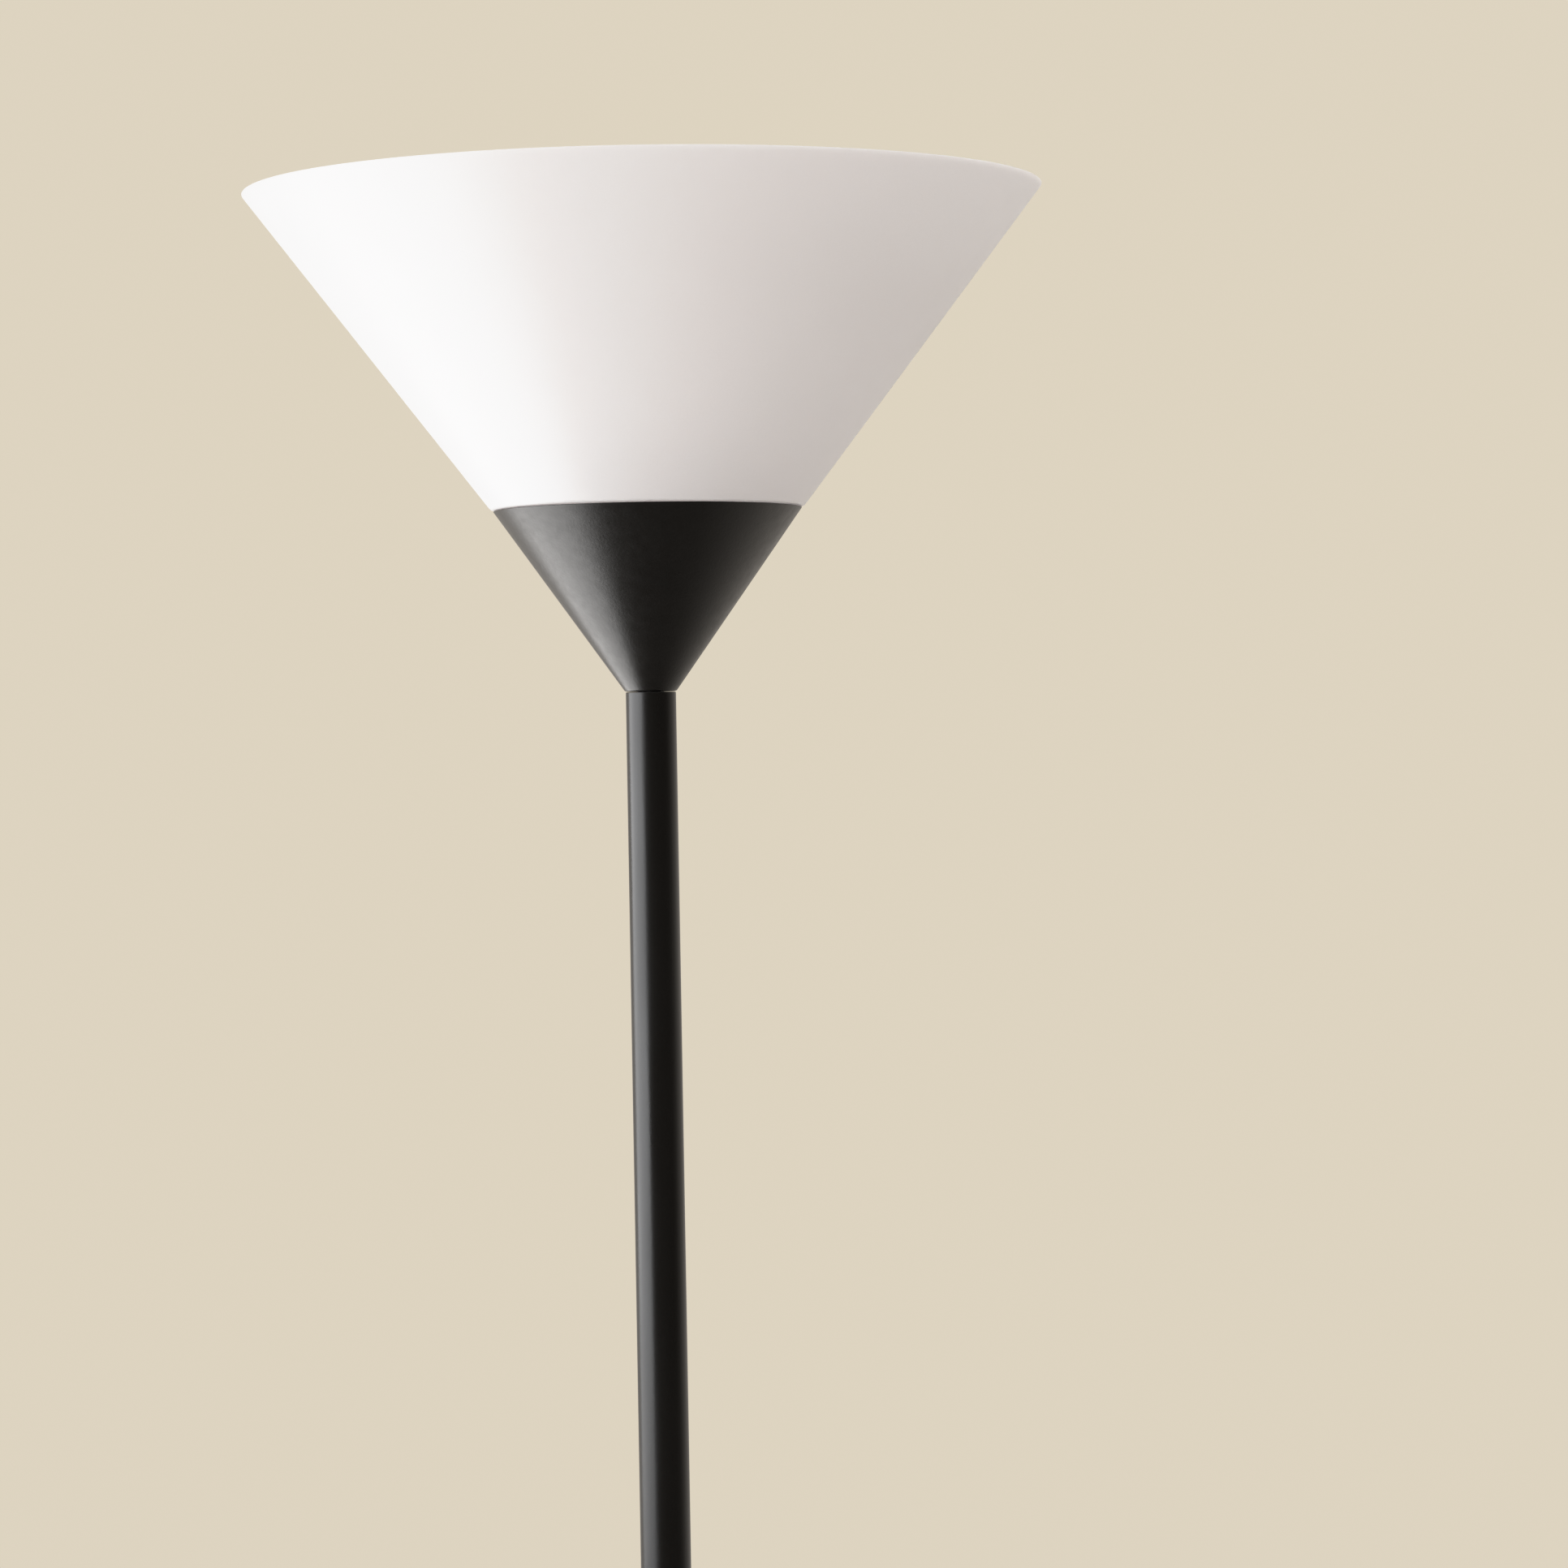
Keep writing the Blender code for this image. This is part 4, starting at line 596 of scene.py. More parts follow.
def wire_sleeve(base):
    made = Finish("Wire sleeve", base, 0.48)
    made.drift(made.grain(300, 3, stretch=(1, 1, 0.05)), shifted(base, 0.75), 0.7)
    made.gloss(made.grain(500, 2, stretch=(1, 1, 0.05)), 0.4, 0.58)
    return made.relief(made.grain(1800, 2, stretch=(1, 1, 0.05)), 0.00001)


def stage_floor(base):
    made = Finish("Stage floor", base, 0.75)
    made.drift(made.grain(2, 4), shifted(base, 0.95), 0.8)
    return made.gloss(made.grain(6, 3), 0.68, 0.82)


FINISHES = {
    "satin_black": ("powder_coat", powder_coat),
    "gloss_black": ("pole_paint", pole_paint),
    "black_plastic": ("black_moulding", black_moulding),
    "opal_shade": ("opal", opal_moulding),
    "opal_bulb": ("bulb_opal", bulb_opal),
    "white_plastic": ("white_moulding", white_moulding),
    "zinc_steel": ("zinc", zinc_plate),
    "brass": ("brass", drawn_brass),
    "nickel": ("nickel", nickel_plate),
    "porcelain": ("porcelain", glazed_porcelain),
    "concrete": ("concrete", cast_concrete),
    "rubber": ("rubber", soft_rubber),
    "wire_brown": ("brown_sleeve", wire_sleeve),
    "wire_white": ("white_sleeve", wire_sleeve),
    "floor": ("floor", stage_floor),
}
MADE_FINISHES = {}


def finish(slot):
    """The material of a slot, made once."""
    if slot not in MADE_FINISHES:
        colour_name, build = FINISHES[slot]
        made = build(tuple(getattr(bpy.context.scene.torchiere_colours, colour_name)))
        MADE_FINISHES[slot] = made.material
    return MADE_FINISHES[slot]


# Shade and cup ----------------------------------------------------------------------------------------


def cup_rise():
    """How fast the cup's radius grows with height."""
    return (radius_of("cup") - POLE_RADIUS - CUP_FOOT_OVERLAP) / (CUP_RIM - CUP_FOOT)


class TORCHIERE_OT_shade(bpy.types.Operator):
    """Moulds the opal cone that lifts off the cup"""

    bl_idname = "torchiere.shade"
    bl_label = "Shade"

    def execute(self, context):
        sizes = context.scene.torchiere_shade
        cup = context.scene.torchiere_cup
        rim, top, low = radius_of("shade"), top_of("shade"), foot_of("shade")
        seat = CUP_RIM + sizes.seat_gap
        shoulder = radius_of("cup") + sizes.overhang
        slope = (rim - shoulder) / (top - seat)
        across = sizes.wall * math.hypot(1, slope)
        spigot_across = sizes.wall * math.hypot(1, cup_rise())
        cup_across = cup.wall * math.hypot(1, cup_rise())
        spigot = radius_of("cup") - cup_across - sizes.spigot_clearance
        spigot_foot = spigot - cup_rise() * (seat - low)
        end = sizes.wall * 0.3
        section = [
            (rim, top, sizes.rim_ease),
            (shoulder, seat, sizes.shoulder_ease),
            (spigot, seat, 0.0006),
            (spigot_foot, low, end),
            (spigot_foot - spigot_across, low, end),
            (spigot - spigot_across, seat + sizes.wall * 0.4, 0.0008),
            (shoulder - across + slope * sizes.wall, seat + sizes.wall, 0.0010),
            (rim - across, top, sizes.rim_ease),
        ]
        show_turned("opal_cone", "shade", eased(section, 8), sizes.sides)
        return {"FINISHED"}


class TORCHIERE_OT_cup(bpy.types.Operator):
    """Spins the satin black cone that holds the shade"""

    bl_idname = "torchiere.cup"
    bl_label = "Cup"

    def execute(self, context):
        sizes = context.scene.torchiere_cup
        rim, foot = radius_of("cup"), POLE_RADIUS + CUP_FOOT_OVERLAP
        across = sizes.wall * math.hypot(1, cup_rise())
        floor = CUP_FOOT + sizes.floor
        section = [
            (sizes.hole, CUP_FOOT, 0),
            (foot, CUP_FOOT, sizes.foot_ease),
            (rim, CUP_RIM, sizes.lip_ease),
            (rim - across, CUP_RIM, sizes.lip_ease),
            (foot + cup_rise() * sizes.floor - across, floor, 0.0004),
            (sizes.hole, floor, 0),
        ]
        show_turned("cup_cone", "cup", eased(section, 6), sizes.sides)
        return {"FINISHED"}


# Pole -------------------------------------------------------------------------------------------------


class TORCHIERE_OT_pole(bpy.types.Operator):
    """Draws the four tubes of the pole and cuts the threads that join them"""

    bl_idname = "torchiere.pole"
    bl_label = "Pole"

    def execute(self, context):
        sizes = context.scene.torchiere_pole
        lower = [f"pole_section_{i + 1}" for i in range(LOWER_SECTIONS)]
        for node in [*lower, "pole_top_section"]:
            low, high, ease = foot_of(node), top_of(node), sizes.end_ease
            bore = POLE_RADIUS - sizes.wall
            corners = [(bore, low, ease), (POLE_RADIUS, low, ease)]
            corners += [(POLE_RADIUS, high, ease), (bore, high, ease)]
            name = node.replace("section", "tube")
            show_turned(name, node, eased(corners, 4), sizes.sides)
        for node in lower:
            self.make_stud(sizes, f"{node}_stud", top_of(node))
        for node in ("base_nipple", "frame_nipple", "head_nipple"):
            name = node.replace("nipple", "threaded_tube")
            ends = foot_of(node), top_of(node)
            show(name, threaded_tube_mesh(name, sizes, sizes.nipple_bore, [], *ends), node)
        return {"FINISHED"}

    def make_stud(self, sizes, node, tube_top):
        """The hollow stud pressed into a tube's top."""
        plug, low = radius_of(node), foot_of(node)
        sink = 0.0004
        body = [(plug - sink, low), (plug, low + sink), (plug, tube_top)]
        name = node.replace("stud", "threaded_stud")
        ends = tube_top, top_of(node)
        show(name, threaded_tube_mesh(name, sizes, sizes.nipple_bore, body, *ends), node)


# Base -------------------------------------------------------------------------------------------------


class TORCHIERE_OT_base(bpy.types.Operator):
    """Makes the base's cover, bottom plate, foot pads and cord gland"""

    bl_idname = "torchiere.base"
    bl_label = "Base"

    def execute(self, context):
        sizes = context.scene.torchiere_base
        self.make_cover(sizes)
        self.make_weight(sizes)
        self.make_plate(sizes)
        for i in range(FOOT_PADS):
            self.make_pad(sizes, f"foot_pad_{i + 1}")
        self.make_gland()
        return {"FINISHED"}

    def crown(self, sizes, radius):
        """Height of the cover's top, a soft crown between the outer edge and the top flat."""
        edge = radius_of("base_cover") - sizes.edge_fillet
        share = min(1.0, max(0.0, (radius - sizes.top_flat) / (edge - sizes.top_flat)))
        rise = top_of("base_cover") - sizes.edge_height
        return sizes.edge_height + rise * (1 + math.cos(math.pi * share)) / 2

    def make_cover(self, sizes):
        outer, foot, top = radius_of("base_cover"), foot_of("base_cover"), top_of("base_cover")
        wall = sizes.cover_wall
        edge, fillet_level = outer - sizes.edge_fillet, sizes.edge_height - sizes.edge_fillet
        radii = spaced(sizes.top_flat, edge, 28)
        section = [(sizes.hole, top)] + [(r, self.crown(sizes, r)) for r in radii]
        section += arc(edge, fillet_level, sizes.edge_fillet, 90, 0, 12)[1:]
        section += [(outer, foot + wall / 3), (outer - wall / 3, foot)]
        section += [(outer - wall * 2 / 3, foot), (outer - wall, foot + wall / 3)]
        section += arc(edge, fillet_level, sizes.edge_fillet - wall, 0, 90, 12)
        section += [(r, self.crown(sizes, r) - wall) for r in radii[-2::-1]] + [(sizes.hole, top - wall)]
        hole, reach = radius_of("cord_gland") - 0.001, 0.01
        gland_level = middle_of("cord_gland").z
        drill = turned_mesh("drill", [(0, -reach), (hole, -reach), (hole, reach), (0, reach)], 48)
        drill.transform(Matrix.Translation((0, outer, gland_level)) @ TOWARDS_KNOB)
        cover = turned_mesh("base_dome", section, sizes.sides)
        show("base_dome", carved(cover, ("DIFFERENCE", drill)), "base_cover")

    def make_weight(self, sizes):
        """The cast weight, with a pocket for the nut and a channel for the cord."""
        node = "base_weight"
        rim, low, top = radius_of(node), foot_of(node), top_of(node)
        drop = top_of("base_cover") - top
        pocket, pocket_top = 0.018, top_of("base_washer") + ASSEMBLY_GAP
        radii = spaced(sizes.top_flat, rim - 0.006, 14)
        section = [(sizes.hole, pocket_top), (pocket, pocket_top), (pocket, low), (rim, low)]
        section += [(rim, self.crown(sizes, rim) - drop - 0.0026)]
        section += [(r, self.crown(sizes, r) - drop) for r in radii[::-1]] + [(sizes.hole, top)]
        half = 0.0045
        outline = [(-half, 0), (half, 0), (half, rim + 0.01), (-half, rim + 0.01)]
        channel = prism_mesh("channel", outline, low - 0.001, pocket_top)
        weight = carved(turned_mesh("cast_weight", section, 128), ("DIFFERENCE", channel))
        show("cast_weight", weight, node)

    def make_plate(self, sizes):
        """The bottom plate, with two shallow rings pressed into its underside."""
        outer, low, high = radius_of("base_plate"), foot_of("base_plate"), top_of("base_plate")
        ease, depth, half_width = 0.0003, 0.0004, 0.0015
        corners = [(0, low, 0)]
        for ring in (0.045, 0.085):
            corners += [(ring - half_width, low, ease), (ring - half_width / 2, low + depth, ease)]
            corners += [(ring + half_width / 2, low + depth, ease), (ring + half_width, low, ease)]
        corners += [(outer, low, ease), (outer, high, ease), (0, high, 0)]
        show_turned("bottom_plate", "base_plate", eased(corners, 3), sizes.sides)

    def make_pad(self, sizes, node):
        """A foot pad that stands on a ring round a shallow dish."""
        radius, low, high = radius_of(node), foot_of(node), top_of(node)
        ease = sizes.pad_ease
        corners = [(0, low + ease, 0), (radius * 0.4, low + ease, ease / 2), (radius * 0.52, low, ease / 2)]
        corners += [(radius, low, ease), (radius, high, ease), (0, high, 0)]
        name = node.replace("foot_pad", "rubber_pad")
        middle = middle_of(node)
        place = Matrix.Translation((middle.x, middle.y, 0))
        show_turned(name, node, eased(corners, 4), 64, place=place)

    def make_gland(self):
        """The rubber gland in the back of the cover, with its two flanges."""
        low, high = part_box("cord_gland")
        back, front = high.y, low.y
        cover = radius_of("base_cover")
        flange, neck, bore, ease = radius_of("cord_gland"), 0.0041, 0.0034, 0.0005
        outer_face, inner_face = cover + ASSEMBLY_GAP, cover - 0.0015
        corners = [
            (bore, -back, ease / 2),
            (flange, -back, ease),
            (flange, -outer_face, ease / 2),
            (neck, -outer_face, 0),
            (neck, -inner_face, 0),
            (flange, -inner_face, ease / 2),
            (flange, -front, ease),
            (bore, -front, ease / 2),
        ]
        place = Matrix.Translation((0, 0, middle_of("cord_gland").z)) @ TOWARDS_KNOB
        show_turned("rubber_gland", "cord_gland", eased(corners, 4), 48, place=place)


# Switch -----------------------------------------------------------------------------------------------


class TORCHIERE_OT_switch(bpy.types.Operator):
    """Moulds the two halves of the switch case, its knob and its screws"""

    bl_idname = "torchiere.switch"
    bl_label = "Switch"

    def execute(self, context):
        sizes = context.scene.torchiere_switch
        self.make_half(sizes, "switch_case_front", "case_front_shell", -1)
        self.make_half(sizes, "switch_case_back", "case_back_shell", 1)
        for side in ("left", "right"):
            self.make_screw(f"case_screw_{side}")
        self.make_knob(sizes)
        return {"FINISHED"}

    def along_knob(self, name, corners, sides, x=0.0, steps=4):
        """A mesh turned round the knob's direction at the switch's level. Heights run to -Y."""
        mesh = turned_mesh(name, eased(corners, steps), sides)
        mesh.transform(Matrix.Translation((x, 0, SWITCH_LEVEL)) @ TOWARDS_KNOB)
        return mesh

    def rod(self, radius, low, high, x=0.0, sides=48):
        corners = [(0, low, 0), (radius, low, 0), (radius, high, 0), (0, high, 0)]
        return self.along_knob("rod", corners, sides, x)

    def make_half(self, sizes, node, name, side):
        """One half of the case, with its posts, screw holes and, on the front, the knob's boss."""
        outer = radius_of(node)
        bore = outer - sizes.wall
        half = (top_of(node) - foot_of(node)) / 2
        mouth, ease = POLE_RADIUS + ASSEMBLY_GAP, sizes.end_ease
        low, high = SWITCH_LEVEL - half, SWITCH_LEVEL + half
        corners = [(mouth, low, 0.0004), (outer, low, ease), (outer, high, ease), (mouth, high, 0.0004)]
        corners += [(mouth, high - sizes.wall, 0), (bore, high - sizes.wall, ease - sizes.wall)]
        corners += [(bore, low + sizes.wall, ease - sizes.wall), (mouth, low + sizes.wall, 0)]
        shell = turned_mesh(name, eased(corners, 8), sizes.sides)
        cuts = []
        post_x = bore - sizes.post_inset
        split = 0.00015
        depth = math.sqrt((bore + sizes.wall / 2) ** 2 - (post_x + sizes.post_radius * 0.6) ** 2)
        for x in (-post_x, post_x):
            cuts.append(("UNION", self.rod(sizes.post_radius, -depth, depth, x)))
        if side < 0:
            face, back = -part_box(node)[0].y, -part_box("switch_body")[0].y + ASSEMBLY_GAP
            boss_corners = [(0, back, 0), (sizes.boss_radius, back, 0.0002)]
            boss_corners += [(sizes.boss_radius, face, 0.0003), (0, face, 0)]
            cuts.append(("UNION", self.along_knob("boss", boss_corners, 96)))
            cuts.append(("DIFFERENCE", self.rod(0.0046, 0.001, 0.05)))
        sink, seat, pilot, end = 0.0022, 0.0060, 0.0012, 0.0066
        for x in (-post_x, post_x):
            drill = [(0, -end, 0), (pilot, -end, 0), (pilot, seat, 0), (sink, seat, 0), (sink, 0.03, 0)]
            cuts.append(("DIFFERENCE", self.along_knob("drill", drill + [(0, 0.03, 0)], 48, x)))
        far = outer * 2
        keep = [(-far, side * split), (far, side * split), (far, side * far), (-far, side * far)]
        cuts.append(("INTERSECT", prism_mesh("half", keep, low - 0.01, high + 0.01)))
        show(name, carved(shell, *cuts), node)

    def make_screw(self, node):
        """A pan head screw with a cross recess."""
        low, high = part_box(node)
        front, tip = -low.y, -high.y
        head, shank, ease = radius_of(node), 0.0010, 0.0004
        seat = front - 0.0014
        corners = [(0, tip, 0), (shank, tip + 0.0008, 0), (shank, seat, 0), (head, seat, 0)]
        corners += [(head, front - 0.0003, ease / 2), (head * 0.72, front, ease), (0, front, 0)]
        arm, half = head * 0.62, 0.00024
        cross = [(half, half), (arm, half), (arm, -half), (half, -half), (half, -arm), (-half, -arm)]
        cross += [(-half, -half), (-arm, -half), (-arm, half), (-half, half), (-half, arm), (half, arm)]
        recess = prism_mesh("recess", cross, front - 0.0008, front + 0.001)
        name = node.replace("case_screw", "cross_screw")
        screw = carved(turned_mesh(name, eased(corners, 4), 48), ("DIFFERENCE", recess))
        place = Matrix.Translation((middle_of(node).x, 0, SWITCH_LEVEL)) @ TOWARDS_KNOB
        show(name, screw, node, place=place)

    def make_knob(self, sizes):
        """The fluted knob, hollow behind where it covers the ring nut and grips the shaft."""
        low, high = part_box("switch_knob")
        front, back = -low.y, -high.y
        radius = radius_of("switch_knob")
        neck, grip = radius - 0.0010, front - sizes.grip_depth
        cavity, cavity_end = radius_of("switch_ring_nut") + 0.0006, -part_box("switch_bushing")[0].y + 0.0006
        shaft_end = -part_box("switch_shaft")[0].y + ASSEMBLY_GAP
        shaft_bore = 0.0025
        corners = [
            (0, shaft_end, 0),
            (shaft_bore, shaft_end, 0),
            (shaft_bore, cavity_end, 0),
            (cavity, cavity_end, 0),
            (cavity, back, 0.0002),
            (radius, back, 0.0005),
            (radius, grip - 0.0014, 0.0004),
            (neck, grip, 0.0005),
            (neck, front, 0.0011),
            (neck - 0.0024, front, 0.0003),
            (neck - 0.0030, front - 0.0003, 0.0003),
            (0, front - 0.0003, 0),
        ]
        outer_wall = neck - 0.0012

        def fluted(r, z, angle):
            if z < grip - 0.0004 or r < outer_wall:
                return r, z
            share = min(1.0, (z - grip + 0.0004) / 0.0008) * min(1.0, (r - outer_wall) / 0.0008)
            return r - share * sizes.flute_depth * (1 + math.cos(sizes.flutes * angle)) / 2, z

        place = Matrix.Translation((0, 0, SWITCH_LEVEL)) @ TOWARDS_KNOB
        sides = sizes.flutes * 16
        show_turned("fluted_knob", "switch_knob", eased(corners, 5), sides, fluted, place)


# Lampholder and bulb ----------------------------------------------------------------------------------


class TORCHIERE_OT_lampholder(bpy.types.Operator):
    """Moulds the lampholder's cap and body and rolls its screw shell"""

    bl_idname = "torchiere.lampholder"
    bl_label = "Lampholder"

    def execute(self, context):
        sizes = context.scene.torchiere_holder
        bulb = context.scene.torchiere_bulb
        outer, foot, joint = radius_of("holder_cap"), foot_of("holder_cap"), top_of("holder_cap")
        shell_outer = radius_of("holder_screw_shell")
        shoulder = joint - sizes.skirt
        neck_level = shoulder - 0.011
        thread_bore = 0.0052
        bore = outer - sizes.wall
        ledge = foot_of("holder_insert") - 0.0003
        ledge_radius = shell_outer - 0.0013
        cap = [(thread_bore, foot), (sizes.neck_radius - 0.0004, foot), (sizes.neck_radius, foot + 0.0004)]
        cap += dome(sizes.neck_radius, outer, neck_level, shoulder, 16)
        cap += [(outer, joint - 0.0003), (outer - 0.0003, joint), (bore, joint), (bore, ledge)]
        cap += [(ledge_radius, ledge)]
        cap += dome(thread_bore, ledge_radius, neck_level + sizes.wall, ledge - 0.001, 12)[::-1]
        show_turned("holder_dome", "holder_cap", cap, sizes.sides)
        self.make_body(sizes, outer, bore, joint)
        self.make_shell(sizes, bulb)
        return {"FINISHED"}

    def make_body(self, sizes, outer, bore, joint):
        """The holder's body, with two shallow grip grooves round it."""
        low, top = foot_of("holder_body"), top_of("holder_body")
        mouth = radius_of("holder_screw_shell") + ASSEMBLY_GAP
        spigot, seat = bore - 0.0002, joint + ASSEMBLY_GAP
        lip_level = top_of("holder_screw_shell") + ASSEMBLY_GAP
        lip = radius_of("bulb_screw_cap") + 0.0005
        inward = sizes.taper / (top - seat)

        def wall_at(level):
            return outer - inward * (level - seat)

        body = [(mouth, low, 0), (spigot, low, 0.0003), (spigot, seat, 0), (outer, seat, 0.0003)]
        groove, depth = 0.0012, 0.0004
        for level in (seat + 0.006, seat + 0.009):
            body += [(wall_at(level), level, 0.0002), (wall_at(level) - depth, level + groove / 3, 0.0002)]
            after = level + groove
            body += [(wall_at(after) - depth, after - groove / 3, 0.0002), (wall_at(after), after, 0.0002)]
        body += [(outer - sizes.taper, top, 0.0012), (lip, top, 0.0004), (lip, lip_level, 0)]
        body += [(mouth, lip_level, 0)]
        show_turned("holder_barrel", "holder_body", eased(body, 4), sizes.sides)

    def make_shell(self, sizes, bulb):
        """The rolled brass shell that the bulb's thread runs in."""
        node = "holder_screw_shell"
        outer, low, top = radius_of(node), foot_of(node), top_of(node)
        wall = outer - sizes.shell_wall - bulb.thread_depth
        first = low + 0.0006
        steps = math.ceil((top - first) / bulb.thread_pitch * 12)
        section = [(0.0095, first), (0.0095, low), (outer, low), (outer, top)]
        section += [(wall, height) for height in spaced(top, first, steps)]
        shape = thread_shape(wall, bulb.thread_depth, bulb.thread_pitch, first, top, 1, CUP_FOOT)
        show_turned("rolled_shell", node, section, 96, shape)


class TORCHIERE_OT_bulb(bpy.types.Operator):
    """Makes the bulb: contact, insulator, threaded cap, body and diffuser"""

    bl_idname = "torchiere.bulb"
    bl_label = "Bulb"

    def execute(self, context):
        sizes = context.scene.torchiere_bulb
        self.make_contact()
        self.make_cap(sizes)
        self.make_body(sizes)
        self.make_diffuser(sizes)
        return {"FINISHED"}

    def make_contact(self):
        """The solder tip and the glass insulator that holds it."""
        low, high, radius = foot_of("bulb_tip"), top_of("bulb_tip"), radius_of("bulb_tip")
        tip = [(0, low, 0), (radius * 0.6, low, 0.0006), (radius, (low + high) / 2, 0.0004)]
        tip += [(radius, high, 0.0001), (0, high, 0)]
        show_turned("solder_tip", "bulb_tip", eased(tip, 5), 64)
        low, high, wide = foot_of("bulb_insulator"), top_of("bulb_insulator"), radius_of("bulb_insulator")
        cone = [(0, low, 0), (radius, low, 0.0003), (wide, high, 0.0003), (0, high, 0)]
        show_turned("glass_insulator", "bulb_insulator", eased(cone, 4), 96)

    def make_cap(self, sizes):
        """The threaded cap, which fits the lampholder's shell."""
        node = "bulb_screw_cap"
        low, last = foot_of(node), top_of(node)
        wall = radius_of(node) - sizes.thread_depth
        bore = wall - sizes.thread_depth - BULB_CAP_WALL
        thread_last = last - 0.002
        steps = math.ceil((thread_last - low) / sizes.thread_pitch * 12)
        section = [(wall, height) for height in spaced(low, thread_last, steps)]
        section += [(wall - sizes.thread_depth, last), (bore, last), (bore, low)]
        ends = low, thread_last
        shape = thread_shape(wall, sizes.thread_depth, sizes.thread_pitch, *ends, -1, CUP_FOOT)
        show_turned("threaded_cap", node, section, 96, shape)

    def make_body(self, sizes):
        """The moulded body, which flares from the cap to the diffuser."""
        node = "bulb_body"
        low, joint = foot_of(node), top_of(node)
        outer = radius_of(node)
        neck = radius_of("bulb_screw_cap") - 2 * sizes.thread_depth - BULB_CAP_WALL - 0.0003
        shoulder = top_of("bulb_screw_cap") + ASSEMBLY_GAP
        shoulder_radius = radius_of("bulb_screw_cap") - sizes.thread_depth + 0.0011
        flare = []
        for share in spaced(0, 1, 24):
            swell = share + 0.09 * math.sin(math.pi * share)
            flare.append(
                (shoulder_radius + (outer - shoulder_radius) * swell, shoulder + (joint - shoulder) * share)
            )
        wall = sizes.wall
        inside = [(radius - wall, height) for radius, height in flare[:-1]][::-1]
        ledge = foot_of("bulb_led_plate") - 0.0003
        rim = outer - wall
        section = [(neck - wall, low), (neck, low), (neck, shoulder)] + flare
        section += [(rim, joint), (rim, ledge), (rim - 0.0015, ledge)]
        section += [point for point in inside[:-1] if point[1] < ledge - 0.0008]
        section += [(neck - wall, shoulder + wall)]
        show_turned("moulded_bulb_body", node, section, sizes.sides)

    def make_diffuser(self, sizes):
        """The opal globe over the LED plate."""
        node = "bulb_diffuser"
        low, top, radius = foot_of(node), top_of(node), radius_of(node)
        centre = top - radius
        start = -math.degrees(math.asin((centre - low) / radius))
        inner = radius - sizes.wall
        inner_start = -math.degrees(math.asin((centre - low) / inner))
        outside = arc(0, centre, radius, start, 90, 32)
        inside = arc(0, centre, inner, 90, inner_start, 28)
        profile = [(0, centre + inner)] + inside[1:] + outside[:-1] + [(0, top)]
        show_turned("opal_globe", node, profile, sizes.sides)


class TORCHIERE_OT_fittings(bpy.types.Operator):
    """Makes the nuts and washers and finishes the pieces that the frame already holds"""

    bl_idname = "torchiere.fittings"
    bl_label = "Fittings"

    def execute(self, context):
        for node in ("base_nut", "frame_upper_nut", "frame_lower_nut", "head_nut"):
            low, high = foot_of(node), top_of(node)
            name = node.replace("nut", "hexagon_nut")
            show(name, nut_mesh(name, NUT_BORE, NUT_ACROSS_FLATS, low, high), node)
        for node in ("base_washer", "head_washer"):
            low, high, radius = foot_of(node), top_of(node), radius_of(node)
            ease = (high - low) / 4
            corners = [(NUT_BORE, low, ease), (radius, low, ease)]
            corners += [(radius, high, ease), (NUT_BORE, high, ease)]
            name = node.replace("washer", "round_washer")
            show_turned(name, node, eased(corners, 3), 96)
        for name, node in NODES.items():
            if not node.hide_render:
                node.material_slots[0].material = finish(SLOT_OF[name])
        return {"FINISHED"}


# Stage ------------------------------------------------------------------------------------------------


class StageSizes(bpy.types.PropertyGroup):
    """Camera, floor and lights."""

    camera_side: FloatProperty(
        name="Camera side", description="The camera's place along X", default=0.0497, unit="LENGTH"
    )
    camera_distance: length("Camera distance", 2.069, "From the lamp's axis to the camera")
    camera_height: length("Camera height", 1.5751, "The camera's height above the floor")
    camera_lens: FloatProperty(
        name="Lens", description="Focal length", default=125.7, min=10, unit="CAMERA"
    )
    camera_roll: FloatProperty(
        name="Roll", description="How far the camera leans", default=math.radians(0.996), unit="ROTATION"
    )
    floor_radius: length("Floor radius", 8.0, "Radius of the plain floor")
    window_brightness: FloatProperty(
        name="Window brightness", description="Brightness of the light on the left", default=4.3, min=0
    )
    bounce_brightness: FloatProperty(
        name="Bounce brightness", description="Brightness of the light from above", default=1.0, min=0
    )


